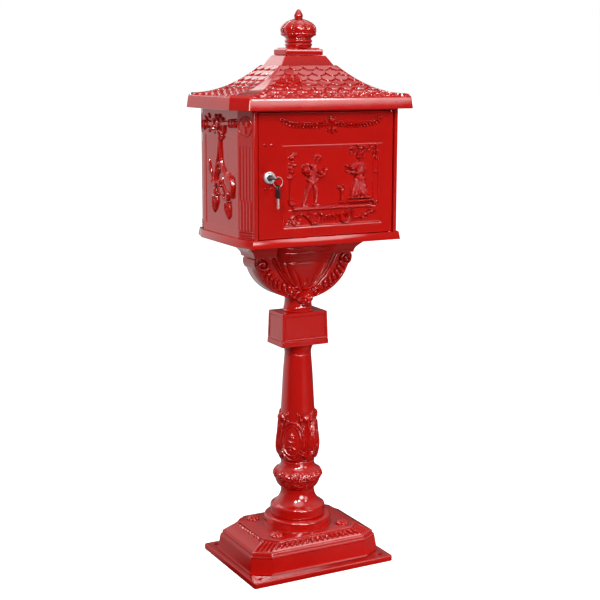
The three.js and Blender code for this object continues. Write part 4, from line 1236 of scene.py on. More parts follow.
def letter_carrier(relief):
    """A walking figure in a peaked cap, a bag on its back and letters in its hands."""
    relief.stroke([(-36, 834), (-46, 812), (-55, 789)], (6.4, 5.2, 3.6), (3.6, 3.4, 2.6))
    relief.stroke([(-31, 834), (-27, 811), (-28, 789)], (6.2, 4.9, 3.5), (3.2, 2.8, 2.4))
    relief.stroke([(-57, 786), (-53, 784.4), (-48, 784.4)], 2.6, 2.6)
    relief.stroke([(-31, 786), (-26, 784.6), (-20, 784.8)], 2.6, 2.6)
    relief.oval((-34, 846), (9.4, 16.5), 3.4, -8)
    relief.oval((-30, 857), (9.8, 9.6), 4.0, -10)
    relief.stroke([(-44, 836), (-34, 830), (-23, 837)], (4.6, 5.6, 4.6), 3.6)
    relief.oval((-49, 857), (8.4, 9.6), 4.6, 18)
    relief.stroke([(-57, 852), (-50, 846), (-42, 846)], 1.6, 4.6)
    relief.stroke([(-54, 864), (-47, 866), (-42, 862)], 1.4, 5.0)
    relief.stroke([(-40, 863), (-31, 852), (-25, 842)], 1.3, 5.0)
    relief.stroke([(-27, 862), (-21, 851), (-16, 846)], (4.2, 3.6, 2.8), 4.6)
    relief.stroke([(-36, 858), (-28, 846), (-18, 842), (-9, 848)], (3.8, 3.4, 2.4), 5.2)
    relief.oval((-8, 850.5), (2.8, 2.4), 4.6)
    relief.box(-11.5, -1.5, 851.5, 858.5, 3.2, 0.9)
    relief.stroke([(-11, 858), (-6.5, 854.6), (-2, 858)], 0.6, 3.8)
    relief.stroke([(-28, 868), (-26, 873)], 3.0, 3.4)
    relief.oval((-24.2, 877.4), (4.9, 6.2), 4.4, -12)
    relief.oval((-21.4, 876.4), (2.6, 3.8), 4.7, -12)
    relief.oval((-25.4, 882.4), (6.0, 3.0), 5.0, 14)
    relief.stroke([(-23, 880.6), (-16.8, 881.4)], 1.1, 4.2)
    relief.stroke([(-46, 812), (-38, 826)], 1.0, 4.2)
    relief.stroke([(-50, 800), (-44, 818)], 0.9, 4.0)
    relief.stroke([(-29, 800), (-28, 816)], 0.9, 3.4)


def lady(relief):
    """A figure in a long dress on a doorstep, holding out her hands."""
    for x, foot in ((-13, 0.0), (-7, 0.3), (0, 0.4), (7, 0.3), (12, 0.0)):
        fold = [(72, 846), (72 + x * 0.7, 824), (71 + x * 1.25, 800 + foot)]
        relief.stroke(fold, (5.0, 5.4, 3.4), (3.2, 3.0, 3.8))
    relief.oval((73, 853), (8.4, 12.6), 4.0, 4)
    relief.oval((73, 862), (9.2, 7.4), 4.2)
    relief.stroke([(66, 864), (57, 855), (46, 859)], (3.8, 3.2, 2.0), 4.6)
    relief.stroke([(80, 864), (82, 852), (70, 846), (54, 846)], (3.8, 3.4, 2.2), 5.0)
    relief.oval((43.5, 860.5), (3.6, 3.2), 4.0, 20)
    relief.oval((44, 850), (4.6, 2.6), 3.2, 10)
    relief.stroke([(73, 868), (73, 872)], 2.6, 3.4)
    relief.oval((73, 878), (4.8, 6.0), 4.4)
    for angle in range(-20, 201, 22):
        a = math.radians(angle)
        relief.oval((73.6 + 6.0 * math.cos(a), 880 + 5.6 * math.sin(a)), (2.9, 2.9), 4.6)
    relief.stroke([(62, 838), (74, 832), (84, 839)], 1.3, 4.4)
    relief.stroke([(58, 800), (60, 812)], 1.6, 4.6)
    relief.stroke([(86, 798), (88, 808), (90, 818)], (2.6, 2.0, 0.9), 4.0)
    relief.stroke([(68, 801), (69, 809)], 1.4, 4.4)
    relief.box(48, 100, 793.5, 798.5, 3.4, 1.4)
    relief.box(44, 106, 787.5, 792.5, 4.2, 1.4)


def garden(relief):
    """Trees, a bird bath, climbing leaves over a doorway and a strip of ground."""
    for x, z, rx, rz, turn in (
        (-76, 886, 7.5, 3.4, 35),
        (-82, 880, 6.0, 4.4, 10),
        (-78, 866, 9.6, 3.0, -8),
        (-84, 861, 6.6, 3.0, 12),
        (-82, 853, 6.6, 2.8, -10),
        (-84, 842, 7.6, 3.4, 18),
        (-77, 846, 4.4, 3.0, 40),
    ):
        relief.oval((x, z), (rx, rz), 2.6, turn)
    relief.stroke([(-84, 838), (-82, 860), (-78, 878)], (1.8, 1.5, 1.0), 2.2)
    relief.stroke([(-85, 840), (-85, 812), (-84, 792)], (1.2, 1.4, 2.2), 1.5)
    for turn, reach in ((118, 13), (95, 15), (70, 15), (48, 13), (28, 12)):
        relief.sprig((-84, 786), turn, reach, 4.2, 2.8)
    relief.oval((30.5, 817), (10.4, 2.0), 3.8)
    relief.oval((31, 814.4), (6.6, 2.4), 3.2)
    relief.stroke([(31, 813), (30.6, 803), (31.5, 792)], (2.4, 1.7, 2.6), 3.2)
    relief.oval((31.4, 788.6), (6.0, 2.2), 3.4)
    relief.oval((24, 820.4), (2.4, 1.5), 3.4, 20)
    relief.oval((36, 820.8), (2.6, 1.5), 3.4, -20)
    for x, z, turn in (
        (58, 897, 200), (64, 893, 230), (70, 898, 150), (78, 896, 190), (84, 891, 215),
        (90, 896, 160), (96, 893, 200), (103, 895, 150), (108, 889, 250), (111, 880, 270),
        (110, 896, 60), (54, 890, 250),
    ):
        relief.sprig((x, z), turn, 9, 5.0, 2.8)
    relief.stroke([(54, 892), (70, 896), (92, 894), (110, 894), (112, 878)], 0.9, 2.2)
    for x in (104.5, 117.5):
        relief.stroke([(x, 782), (x, 888)], 1.1, 1.1, smooth=False)
    relief.oval((110.5, 846), (2.4, 2.4), 3.2)
    for k in range(5):
        relief.sprig((109, 785), 90 + 72 * k, 6.4, 4.8, 3.6)
    relief.oval((109, 785), (1.8, 1.8), 4.4)
    relief.box(-80, 102, 776.0, 783.2, 2.2, 1.3)
    relief.stroke([(-79, 777.2), (100, 777.2)], 1.2, 3.2, smooth=False)
    relief.stroke([(-79, 782.6), (100, 782.6)], 0.9, 2.9, smooth=False)


def door_foot_ornament(relief):
    """Acanthus scrolls in the strip under the scene."""
    for k, (turn, reach) in enumerate(((162, 16), (138, 19), (112, 19), (86, 16), (58, 14))):
        a = math.radians(turn)
        tip = (-70 + reach * 1.25 * math.cos(a), 749 + reach * math.sin(a))
        relief.leaf((-68, 748.5), tip, 6.4, 3.4 - 0.1 * k, bow=1.4)
    relief.stroke([(-90, 748), (-76, 766), (-58, 768), (-44, 758), (-36, 747)], (1.2, 2.4, 1.8), 3.6)
    relief.spiral((-42, 766.5), 5.6, 1.3, 1.4, 3.2, angle=200)
    scroll = [(-46, 760), (-34, 749), (-20, 750), (-13, 761), (-20, 769), (-28, 764)]
    relief.stroke(scroll, (1.4, 2.4, 1.3), 3.8)
    for k in range(5):
        relief.oval((-5 + k * 6.4, 762 + 1.4 * (-1) ** k), (2.7, 2.3), 3.4)
        relief.leaf((-5 + k * 6.4, 761), (-8 + k * 6.4, 753), 3.6, 2.4, veins=False)
    relief.stroke([(28, 764), (30, 751), (43, 747), (54, 754), (57, 766)], (1.4, 2.4, 1.2), 3.8)
    relief.spiral((42, 765), 6.0, -1.3, 1.5, 3.4, angle=20)
    relief.spiral((58, 769), 4.2, 1.1, 1.2, 3.0, angle=120)
    relief.stroke([(58, 757), (74, 757), (90, 763), (104, 769)], (2.2, 1.7, 0.9), 3.2)
    for x, z, turn in (
        (70, 757, 40), (80, 759, 45), (90, 762, 50), (76, 757, -40), (88, 761, -35), (99, 767, -30),
    ):
        relief.sprig((x, z), turn, (10, 7.5), 4.6, 2.8)
    relief.leaf((96, 771), (114, 766), 5.4, 3.0)


def door_height(x, z):
    """Height of the door's front face over its flat."""
    ground = Relief(x, z)
    ground.sink(*SCENE_FIELD, 0.9, 3.2)
    ground.sink(-89, 114.5, 776, 896.5, 0.4, 1.2)
    edge = Relief(x, z)
    edge.frame_line(*SCENE_FIELD, 2.2, 0.3)
    edge.stroke([(-98, 744.6), (123, 744.6)], 1.3, 0.35, smooth=False)
    ornament = Relief(x, z)
    garland(ornament)
    letter_carrier(ornament)
    lady(ornament)
    garden(ornament)
    door_foot_ornament(ornament)
    for bx in (-139.5, -124.5):
        for bz in (906, 821):
            ornament.oval((bx, bz), (2.3, 2.3), 1.5)
    chased = 1 + 0.16 * np.sin(x * 1.7 + z * 1.1) * np.sin(x * 0.9 - z * 1.6)
    return ground.height + np.maximum(edge.height, RELIEF_SCALE * chased * ornament.height)


def rounded_plate(x0, x1, z0, z1, step, soften):
    """Grid over a rectangle with extra lines close to its border, and how far it rounds off."""
    inner = np.array([0, 0.12, 0.35, 0.7, 1.0]) * soften

    def axis(low, high):
        middle = np.linspace(low + soften, high - soften, int((high - low - 2 * soften) / step) + 1)
        return np.concatenate([low + inner[:-1], middle, (high - inner[:-1])[::-1]])

    x, z = np.meshgrid(axis(x0, x1), axis(z0, z1), indexing="xy")
    border = np.minimum.reduce([x - x0, x1 - x, z - z0, z1 - z])
    rest = 1 - np.clip(border / soften, 0, 1)
    return x, z, soften * (1 - np.sqrt(np.clip(1 - rest**2, 0, 1)))


def build_door():
    x, z, drop = rounded_plate(DOOR_LEFT, HINGE_AT[0], DOOR_BOTTOM, DOOR_TOP, 0.9, 0.9)
    fade = np.clip(1 - drop / 0.5, 0, 1)
    front = np.stack([x, DOOR_FRONT + drop - door_height(x, z) * fade, z], axis=-1)
    back_relief = Relief(x, z)
    back_relief.sink(-135, 132, 742, 950, 0.8, 2.0)
    back = np.stack([x, DOOR_BACK - drop + back_relief.height * fade, z], axis=-1)
    door = sheet("door_cast", front, back, red, crease=38.0)
    profile = [(4.3, DOOR_BOTTOM), (4.8, 722.7), (4.8, 967.5), (4.3, DOOR_TOP)]
    combine(door, lathe("tool", profile, red, 40, HINGE_AT), "UNION")
    for z0, z1 in ((720, 734.2), (956, 970)):
        combine(door, rod("z", HINGE_WAY, z0, z1, HINGE_AT, 24), "DIFFERENCE")
    combine(door, rod("y", LOCK_WAY, -140, -110, (LOCK_X, LOCK_Z), 64), "DIFFERENCE")
    return install(finish_mesh(door, 38.0), "door", "door_panel")


build_door()


# ---------- side panels ----------
SIDE_X, SIDE_Y, SIDE_CUT_X, SIDE_CUT_Y = 177.8, 126.3, 15.3, 43.2
SIDE_FLAT = SIDE_Y - SIDE_CUT_Y
CHAMFER = math.hypot(SIDE_CUT_X, SIDE_CUT_Y)
SKIN_END = 122.0
CABINET_BOTTOM, CABINET_TOP = 721.0, 985.0
PILASTERS = (-(SIDE_FLAT + CHAMFER / 2 - 1.6), SIDE_FLAT + CHAMFER / 2 - 1.6)
FLUTES = (-12.6, -4.2, 4.2, 12.6)
MEDAL_Z = 941
SIDE_WALL = 4.0


def trophy(relief):
    """Ribbon, bugle, pouch and tassels hanging in the side panel; u grows towards the front."""
    # the baton with turned ends
    relief.stroke([(-80, 939), (78, 947)], 5.2, 4.6, smooth=False)
    for u, r in ((-76, 7.2), (-66, 6.2), (-52, 6.4), (52, 6.4), (64, 6.4), (76, 7.6)):
        relief.stroke([(u, 943 + u * 0.05 - 6), (u, 943 + u * 0.05 + 6)], r * 0.42, 6.4)
    for u, z, turn in ((-60, 952, 30), (-70, 934, -30), (-46, 955, 60), (-44, 932, -50)):
        a = math.radians(180 - turn)
        relief.leaf((u, z - 3), (u + 13 * math.cos(a), z + 9 * math.sin(a)), 7.0, 4.0)
    # the bow
    relief.oval((-4, 943), (15, 15.5), 6.4)
    relief.oval_ring((-4, 943), (10, 10.5), 3.2, 8.4)
    for turn in (30, 75, 120, 165, -15, 210):
        a = math.radians(turn)
        root = (-4 + 8 * math.cos(a), 945 + 8 * math.sin(a))
        relief.leaf(root, (-4 + 30 * math.cos(a), 946 + 18 * math.sin(a)), 11, 5.6)
    relief.stroke([(-30, 938), (-24, 926), (-10, 930)], (3.2, 4.2, 3.0), 5.4)
    relief.stroke([(24, 938), (20, 926), (4, 930)], (3.2, 4.2, 3.0), 5.4)
    relief.oval((-2, 926), (9.5, 6.0), 6.6)
    relief.oval((-2, 914), (7.8, 8.4), 6.2)
    relief.stroke([(12, 924), (15, 917), (9, 912)], (2.8, 3.0, 1.6), 4.6)
    # hanging ribbon, splitting into two cords
    relief.stroke([(-3, 912), (-6, 894), (-10, 876), (-16, 862), (-19, 850)], (6.4, 4.6, 5.4), 5.2)
    relief.stroke([(1, 908), (3, 886), (6, 868), (14, 854)], (3.4, 2.6, 3.4), 5.0)
    relief.stroke([(-17, 858), (-4, 866), (2, 856), (-4, 846)], (2.8, 2.6, 1.8), 4.0)
    relief.stroke([(-20, 852), (-24, 838), (-25, 822)], (5.4, 3.6, 4.4), 5.0)
    relief.stroke([(-8, 852), (-14, 838), (-16, 826)], (2.6, 2.2, 2.6), 4.2)
    # small side tassel
    relief.stroke([(-52, 860), (-47, 852), (-41, 838), (-34, 824)], (2.0, 1.6, 2.2), 3.2)
    relief.leaf((-50, 848), (-53, 868), 7.5, 3.6)
    relief.leaf((-46, 840), (-58, 852), 5.5, 3.0)
    # knot
    relief.oval((-24, 822), (11.5, 7.6), 6.6, -12)
    relief.stroke([(-36, 826), (-24, 818), (-8, 826), (4, 820)], (3.2, 3.0, 2.4), 7.2)
    relief.stroke([(-8, 828), (4, 812), (14, 800), (22, 796)], (3.2, 2.8, 3.2), 6.0)
    relief.stroke([(-18, 806), (-6, 802), (12, 804)], 1.8, 4.0)
    # pouch with its flap
    relief.stroke([(14, 854), (22, 846), (30, 842)], (5.4, 6.4, 5.2), 6.4)
    relief.oval((40, 826), (25, 20), 6.4, -62, power=0.4)
    relief.oval((36, 830), (17, 14), 7.4, -62, power=0.4)
    relief.stroke([(22, 838), (32, 818), (48, 808)], (2.2, 1.8, 2.0), 8.6)
    relief.stroke([(46, 842), (58, 834), (62, 818), (58, 800)], (2.4, 3.0, 2.2), 7.4)
    # two big tassels
    for u, lean in ((-25, 1.0), (34, -1.6)):
        top = 806 if u < 0 else 798
        relief.oval((u, top), (8.6, 9.4), 6.4)
        relief.stroke([(u - 7.5, top - 8), (u, top - 10), (u + 7.5, top - 8)], 2.1, 6.8)
        for k in (-2, -1, 0, 1, 2):
            end = (u + k * 3.2 - lean * 3, top - 42 + abs(k) * 2.4)
            thread = [(u + k * 3.0, top - 9), (u + k * 4.0, top - 22), end]
            relief.stroke(thread, (2.0, 2.5, 1.4), (5.4, 5.8, 3.6))


def pilaster(relief, middle):
    """Medallion over a fluted and reeded shaft on three base bands."""
    relief.oval_ring((middle, MEDAL_Z), (18.0, 19.0), 2.0, 1.5)
    relief.oval((middle, MEDAL_Z), (16.6, 17.6), 0.8, power=0.2)
    for turn in (30, 150, 270):
        a = math.radians(turn)
        relief.oval((middle + 7.6 * math.cos(a), MEDAL_Z + 7.8 * math.sin(a)), (7.6, 5.4), 2.3, turn)
    relief.oval((middle, MEDAL_Z), (3.2, 3.2), 2.9)
    for shift in FLUTES:
        u = middle + shift
        relief.stroke([(u, 742), (u, 793)], (3.5, 3.5), (0.9, 0.7), smooth=False)
    for z0, z1 in ((723.5, 727.5), (729.0, 733.0), (734.5, 738.4)):
        relief.box(middle - 20, middle + 20, z0, z1, 1.8, 1.3)


def side_height(u, z):
    """Height over the unrolled side: u is 0 at its middle, and grows towards the front."""
    ground = Relief(u, z)
    ground.sink(-71.5, 71.5, 736, 921, 1.3, 2.4)
    ornament = Relief(u, z)
    trophy(ornament)
    for middle in PILASTERS:
        pilaster(ornament, middle)
        for shift in FLUTES:
            ground.stroke_groove((middle + shift, 802), (middle + shift, 900), 3.6, 0.7)
    return ground.height, ornament.height


def side_plan(u, inset):
    """Plan point and normal on the right panel's outer face, unrolled, moved in by inset."""
    nx, ny = SIDE_CUT_Y / CHAMFER, SIDE_CUT_X / CHAMFER
    sign = np.sign(u)
    beyond = np.clip(np.abs(u) - SIDE_FLAT, 0, None)
    flat = np.minimum(np.abs(u), SIDE_FLAT)
    x = SIDE_X - beyond * ny
    y = flat + beyond * nx
    bend = smoothstep(np.abs(u), SIDE_FLAT - 1.5, SIDE_FLAT + 1.5)
    angle = bend * math.atan2(ny, nx)
    normal_x, normal_y = np.cos(angle), np.sin(angle)
    return x - inset * normal_x, sign * (y - inset * normal_y), normal_x, sign * normal_y


def build_side(side):
    """side is 1 for the right panel and -1 for the left one."""
    reach = SIDE_FLAT + (SKIN_END - SIDE_FLAT) / (SIDE_CUT_Y / CHAMFER)
    u = np.linspace(-reach, reach, 262)
    ends = ([CABINET_BOTTOM, 721.2, 721.6], [984.8, CABINET_TOP])
    z = np.concatenate([ends[0], np.linspace(722.2, 984.4, 264), ends[1]])
    grid_u, grid_z = np.meshgrid(u, z, indexing="xy")
    ground, ornament = side_height(-grid_u, grid_z)
    margin = np.minimum(grid_z - CABINET_BOTTOM, CABINET_TOP - grid_z)
    margin = np.minimum(reach - np.abs(grid_u), margin)
    fade = smoothstep(margin, 0.2, 1.6)
    drop = 0.6 * np.clip(1 - margin / 0.6, 0, 1) ** 2
    x, y, normal_x, normal_y = side_plan(grid_u, 0.0)
    out = (ground + ornament) * fade - drop
    front = np.stack([side * (x + out * normal_x), y + out * normal_y, grid_z], axis=-1)
    x, y, _, _ = side_plan(grid_u, SIDE_WALL)
    y = np.clip(y, -SKIN_END, SKIN_END)
    inner = np.minimum(ground, 0) * 0.9
    back = np.stack([side * (x + inner), y, grid_z], axis=-1)
    panel = sheet("side_cast", front, back, red, crease=38.0)
    posts = [(154.5, 166, -116, -104, 729.3, CABINET_TOP)]
    posts += [(154.5, 166, 104, 116, CABINET_BOTTOM, CABINET_TOP)]
    posts += [(160, 175, y - 8, y + 8, 975, CABINET_TOP) for y in (-55, 55)]
    for x0, x1, y0, y1, z0, z1 in posts:
        x0, x1 = sorted((side * x0, side * x1))
        combine(panel, block(x0, x1, y0, y1, z0, z1), "UNION")
    for level_z in (760, 950):
        for y0, y1 in ((-120, -100), (100, 120)):
            combine(panel, rod("y", SCREW_WAY, y0, y1, (side * 157.8, level_z), 16), "DIFFERENCE")
    for y in (-113.5, 113.5):
        combine(panel, rod("z", SCREW_WAY, 720, 743, (side * 159.5, y), 16), "DIFFERENCE")
    for y in (-55, 55):
        combine(panel, rod("z", SCREW_WAY, 974, 986, (side * 166, y), 16), "DIFFERENCE")
    name = "side_panel_right" if side > 0 else "side_panel_left"
    return install(finish_mesh(panel, 38.0), "root", name)


build_side(-1)
build_side(1)


# ---------- finial ----------
# inset and height up the stepped plate
PLATE_STEPS = [(3.0, 1077.8), (0.4, 1078.9), (0.0, 1079.6), (0.0, 1088.4), (0.5, 1089.6)]
PLATE_STEPS += [(1.4, 1090.3), (4.6, 1090.4), (5.0, 1090.9), (5.4, 1092.4), (6.4, 1093.0)]


def build_finial_plate():
    counts = [40, 0, 56, 0, 40, 0, 56, 0]

    def plan(inset):
        return Ring(octagon(42.9 - inset, 26.9 - inset, 1.0, 1.0), counts, 1.2, 3).points

    hole = circle_like(plan(0), STUD_WAY)
    steps = [level(plan(inset), z) for inset, z in PLATE_STEPS]
    rings = [level(hole, PLATE_STEPS[0][1]), *steps, level(hole, PLATE_STEPS[-1][1])]
    plate = loft("finial_plate_cast", rings, red, hollow=True, crease=34.0)
    return install(plate, "root", "finial_plate")


CROWN_NECK = [(25.6, 1093.3), (26.6, 1093.9), (26.6, 1095.0), (25.8, 1095.7), (26.0, 1096.6)]
CROWN_NECK += [(27.6, 1097.6), (28.2, 1099.4), (27.5, 1101.2), (26.0, 1102.4), (26.0, 1103.6)]
CROWN_NECK += [(27.6, 1104.6), (28.2, 1106.6), (27.5, 1108.6), (26.0, 1110.0), (25.6, 1111.6)]
CROWN_BULB = [(26.6, 1112.6), (29.0, 1114.6), (32.8, 1118.2), (35.4, 1123.4), (36.2, 1129.0)]
CROWN_BULB += [(35.0, 1134.4), (31.6, 1139.4), (26.2, 1143.8), (18.4, 1147.6), (9.6, 1150.6)]
CROWN_TIP = [(8.2, 1151.2), (8.6, 1152.2), (7.8, 1153.0), (8.6, 1154.4), (8.9, 1156.8), (8.0, 1160.0)]
CROWN_TIP += [(6.0, 1164.4), (3.8, 1167.8), (2.0, 1169.4), (0.4, 1170.0)]


def crown_relief(angle, z):
    """Beaded arches over the crown and a scalloped band round its foot."""
    arches, scallop_count = 8, 24
    phase = repeat(angle * arches, 2 * math.pi, 0)
    body = smoothstep(z, 1120, 1124) * (1 - smoothstep(z, 1147.6, 1150.5))
    height = body * (-3.0 + 3.6 * np.clip(np.cos(phase * math.pi / 2), 0, 1) ** 0.6)
    bead = 0.25 + 0.75 * np.abs(np.cos(z * math.pi / 4.0))
    height += body * hump((1 - np.abs(phase)) / 0.17) * 3.6 * bead
    band = hump((z - 1119.0) / 2.6)
    scallops = band * (0.5 + 2.2 * hump(repeat(angle * scallop_count, 2 * math.pi, 0)))
    height = np.where(band > 0, np.maximum(height, scallops), height)
    tip = smoothstep(z, 1154, 1157) * (1 - smoothstep(z, 1162, 1168))
    return height + tip * 0.5 * np.cos(angle * 8)


def build_finial_crown():
    outline = np.vstack(
        [
            resample(CROWN_NECK, 0.8),
            resample(spline(CROWN_BULB, 5), 0.9),
            resample(spline(CROWN_TIP, 3), 0.8),
        ]
    )
    fade = np.clip(outline[:, :1] / 8.0, 0, 1)
    rings = turned_rings(outline, 320, lambda angle, z: crown_relief(angle, z) * fade)
    crown = loft("crown_cast", rings, red, crease=38.0)
    combine(crown, rod("z", STUD_WAY, 1092, 1114), "DIFFERENCE")
    return install(finish_mesh(crown, 38.0), "root", "finial_crown")


build_finial_plate()
build_finial_crown()


# ---------- mail flap ----------
FLAP_HALF, FLAP_BOTTOM, FLAP_PIN = 138, 893, (129.6, 955)
FLAP_FIELD = (-126, 126, 903, 943)


def build_flap():
    x, z, drop = rounded_plate(-FLAP_HALF, FLAP_HALF, FLAP_BOTTOM, FLAP_PIN[1], 1.4, 0.8)
    relief = Relief(x, z)
    relief.sink(*FLAP_FIELD, 0.9, 1.6)
    relief.frame_line(*FLAP_FIELD, 2.2, 0.9)
    outer = np.stack([x, 131.3 - drop + relief.height * np.clip(1 - drop / 0.5, 0, 1), z], axis=-1)
    inner = np.stack([x, 127.3 + drop, z], axis=-1)
    flap = sheet("flap_cast", outer, inner, red, crease=38.0)
    lip = Ring(octagon(60, 2.4, 1.6, 1.6), [2, 2, 60, 2, 2, 2, 60, 2], 1.2, 3).points
    rings = [
        np.column_stack([lip[:, 0] * s, np.full(len(lip), y), 895.6 + lip[:, 1] * s])
        for y, s in ((129, 1.0), (136.6, 1.0), (138.2, 0.97), (138.6, 0.9))
    ]
    combine(flap, loft("tool", rings, red), "UNION")
    combine(flap, rod("x", 3.0, -FLAP_HALF, FLAP_HALF, FLAP_PIN, 40), "UNION")
    combine(flap, rod("x", 1.75, -150, 150, FLAP_PIN, 24), "DIFFERENCE")
    return install(finish_mesh(flap, 38.0), "mail_flap", "mail_flap")


build_flap()


# ---------- plain castings and hardware that keep the frame's shape ----------
for node, width in (("floor_tray", 0.6), ("front_frame", 0.5), ("back_panel", 0.6)):
    install(bevelled_copy(node, red, width), "root", node)


# ---------- lock, keys and ring ----------
BEZEL = [(9.2, -106.4), (9.2, -126.6), (11.4, -126.6), (12.0, -127.2), (12.0, -128.6)]
BEZEL += [(11.8, -129.6), (11.2, -130.3), (10.4, -130.7), (9.6, -130.6), (9.0, -130.1)]
BEZEL += [(8.3, -129.3), (7.4, -128.9), (6.9, -129.0), (6.6, -129.4), (6.5, -129.9), (6.5, -106.4)]


def build_lock_housing():
    """Threaded barrel behind a polished bezel with a rolled lip and a dished face."""
    angle = turn_angles(96)
    profile = [BEZEL[0]]
    thread = np.linspace(-107.4, -121.4, 43)
    profile += [(9.2 - (0.34 if k % 2 else 0.0), y) for k, y in enumerate(thread)]
    profile += BEZEL[1:]
    rings = [
        np.stack([LOCK_X + r * np.cos(angle), np.full(96, y), LOCK_Z + r * np.sin(angle)], axis=-1)
        for r, y in profile
    ]
    housing = loft("lock_bezel", rings, chrome, hollow=True, crease=34.0)
    return install(housing, "door", "lock_housing")


def build_ring():
    """Split ring: two close turns of wire."""
    lo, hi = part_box("key_ring")
    centre = [(a + b) / 2 / MM for a, b in zip(lo, hi)]
    radius, wire, turns, count = 10.0, 0.5, 1.9, 150
    path = np.linspace(0, 2 * math.pi * turns, count)
    shift = np.interp(path, [0, path[-1]], [-0.36, 0.36])
    around = turn_angles(12)
    r = radius + wire * np.cos(around)
    rings = []
    for a, shift_y in zip(path, shift):
        y = centre[1] + shift_y + wire * np.sin(around)
        rings.append(
            np.column_stack([centre[0] + r * math.cos(a), y, centre[2] + r * math.sin(a)])
        )
    return install(loft("split_ring", rings, chrome, crease=50.0), "key_ring", "key_ring")


build_lock_housing()
build_ring()
for node, body, material, width in (
    ("lock_plug", "lock_plug", plug_steel, 0.2),
    ("door_key_head", "door_key", black, 0.5),
    ("door_key_blade", "door_key", nickel, 0.15),
    ("spare_key_head", "spare_key", black, 0.5),
    ("spare_key_blade", "spare_key", nickel, 0.15),
):
    install(bevelled_copy(node, material, width), body, node)

CASTINGS = {"base_casting", "column_shaft", "plinth_block", "bowl_bracket", "bracket_cornice"}
CASTINGS |= {"floor_tray", "side_panel_left", "side_panel_right", "front_frame", "back_panel"}
CASTINGS |= {"roof_shell", "finial_plate", "finial_crown", "door_panel", "mail_flap"}
NODE_MATERIALS = {name: red for name in CASTINGS}
NODE_MATERIALS |= {"lock_housing": chrome, "key_ring": chrome, "lock_plug": plug_steel}
NODE_MATERIALS |= {"door_key_head": black, "spare_key_head": black}
for name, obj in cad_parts.items():
    obj.data.materials.clear()
    obj.data.materials.append(NODE_MATERIALS.get(name, zinc))


# ---------- floor, light and surroundings ----------
FLOOR_HALF = 30.0
floor_mesh = bpy.data.meshes.new("studio_floor")
floor_mesh.from_pydata(
    [(x * FLOOR_HALF, y * FLOOR_HALF, 0) for x, y in ((-1, -1), (1, -1), (1, 1), (-1, 1))],
    [],
    [[0, 1, 2, 3]],
)
studio_floor = bpy.data.objects.new("studio_floor", floor_mesh)
scene.collection.objects.link(studio_floor)

BEHIND_LEFT = (-0.447, 0.894, 0.0)  # where the sweep is lit as brightly as the wall above it
POOL_AT = (0.45, -0.35, 0.0)  # a little light thrown up at the front right
UNDER_FLANGE = (("X", 0.162), ("Y", 0.123))  # half sizes of a painted shade patch under the flange, where the floor does not glow, so the bolt holes look dark


def floor_surface():
    """A pale sweep to look at, with a painted shade patch under the base, which throws only a little
    light back onto the object.
    """
    material, tree, shader = new_material(
        "studio_floor",
        Base_Color=(0.75, 0.75, 0.75, 1.0),
        Roughness=0.9,
        Specular_IOR_Level=0.0,
        Emission_Color=(1.0, 1.0, 1.0, 1.0),
    )
    place = tree.nodes.new("ShaderNodeNewGeometry").outputs["Position"]
    toward = math_node(tree, "NORMALIZE", place, kind="VectorMath", result="Vector")
    behind = math_node(tree, "DOT_PRODUCT", toward, BEHIND_LEFT, kind="VectorMath")
    length = math_node(tree, "LENGTH", place, kind="VectorMath")
    near = math_node(tree, "DISTANCE", place, POOL_AT, kind="VectorMath")
    wall = fade_node(tree, behind, 0.45, 0.93, 0.05, 0.66)
    distant = math_node(tree, "MULTIPLY", wall, fade_node(tree, length, 0.3, 2.0, 0.35))
    pool = fade_node(tree, near, 0.20, 0.50, 0.12, 0.0)
    dim = tree.nodes.new("ShaderNodeEmission")
    connect(tree, dim.inputs["Strength"], math_node(tree, "ADD", distant, pool))
    axes = tree.nodes.new("ShaderNodeSeparateXYZ")
    tree.links.new(place, axes.inputs[0])
    # painted shade: the floor glows for the camera only outside the flange's footprint, so it shows
    # dark under the base
    beyond = [
        math_node(tree, "GREATER_THAN", math_node(tree, "ABSOLUTE", axes.outputs[axis]), half)
        for axis, half in UNDER_FLANGE
    ]
    connect(tree, shader.inputs["Emission Strength"], math_node(tree, "MAXIMUM", *beyond))
    camera_switch(tree, dim.outputs["Emission"], shader.outputs["BSDF"], "Material Output")
    return material


floor_mesh.materials.append(floor_surface())


def area_light(name, place, target, size, power):
    data = bpy.data.lights.new(name, "AREA")
    data.shape = "RECTANGLE"
    data.size, data.size_y = size
    data.energy = power
    light = bpy.data.objects.new(name, data)
    aim = np.array(target) - np.array(place)
    yaw = math.degrees(math.atan2(-aim[0], aim[1]))
    tilt = math.degrees(math.atan2(aim[2], math.hypot(aim[0], aim[1])))
    light.matrix_world = Matrix.Translation(place) @ turned(yaw, tilt)
    light.visible_camera = False
    scene.collection.objects.link(light)
    return light


area_light("key_left", (-1.72, -2.06, 2.75), (0, 0, 0.75), (0.5, 0.5), 33)
area_light("key_right", (-0.8, -2.79, 2.3), (0, 0, 0.75), (0.5, 0.5), 31)
area_light("fill", (1.36, -2.56, 2.2), (0, 0, 0.75), (0.4, 0.4), 8)
area_light("top", (0.5, 0.3, 2.6), (0, 0, 0.6), (1.2, 1.2), 5)
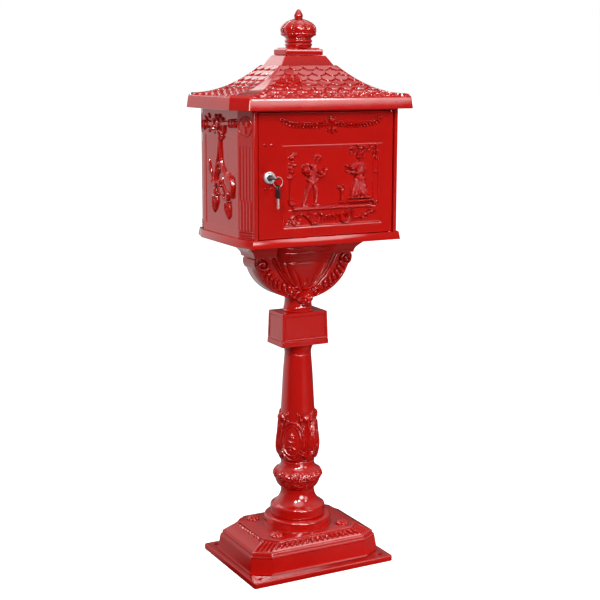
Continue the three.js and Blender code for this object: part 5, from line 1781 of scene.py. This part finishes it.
# sparkle on the relief, soft light on the left side and from the sweep in front
area_light("spark_left", (-1.68, -2.00, 2.70), (0, 0, 0.75), (0.5, 0.5), 12).visible_diffuse = False
area_light("spark_right", (-0.77, -2.70, 2.25), (0, 0, 0.75), (0.5, 0.5), 12).visible_diffuse = False
area_light("side_soft", (-2.6, 0.7, 1.3), (0, 0, 0.9), (1.6, 1.6), 15).visible_glossy = False
area_light("bounce", (0.45, -1.0, 0.15), (0, 0, 0.68), (0.7, 0.7), 7).visible_glossy = False
area_light("roof_panel", (-0.15, 1.5, 1.9), (-0.15, 0, 1.03), (1.2, 0.9), 5.0).visible_diffuse = False

AMBIENT = 0.08
# direction, dot product where it starts, where it is full, strength, in reflections only
GLOWS = [
    ((0.15, 0.1, 1.0), 0.30, 0.80, 0.36, False),
    ((-0.44, 0.88, 0.10), 0.76, 0.94, 0.6, False),
    ((-0.18, -0.51, 0.86), 0.90, 0.97, 2.5, True),
    ((0.46, -0.85, 0.34), 0.972, 0.992, 4.4, True),
    ((-0.02, -0.97, 0.26), 0.970, 0.990, 15.0, True),
]


def build_world():
    """A studio by direction: bright overhead and behind to the left, dark in front."""
    world = bpy.data.worlds.new("studio")
    scene.world = world
    world.use_nodes = True
    tree = world.node_tree
    lit = tree.nodes["Background"]
    lit.inputs["Color"].default_value = (1, 1, 1, 1)
    direction = tree.nodes.new("ShaderNodeTexCoord").outputs["Generated"]
    mirrors = tree.nodes.new("ShaderNodeLightPath").outputs["Is Glossy Ray"]
    total = AMBIENT
    for aim, start, full, strength, mirrored in GLOWS:
        aim = np.array(aim) / np.linalg.norm(aim)
        toward = math_node(tree, "DOT_PRODUCT", direction, aim, kind="VectorMath")
        glow = fade_node(tree, toward, start, full, high=strength)
        if mirrored:
            glow = math_node(tree, "MULTIPLY", glow, mirrors)
        total = math_node(tree, "ADD", glow, total)
    connect(tree, lit.inputs["Strength"], total)
    backdrop = tree.nodes.new("ShaderNodeBackground")
    backdrop.inputs["Color"].default_value = (1, 1, 1, 1)
    outputs = (lit.outputs["Background"], backdrop.outputs["Background"])
    camera_switch(tree, *outputs, "World Output")


build_world()
scene.view_settings.view_transform = "Standard"
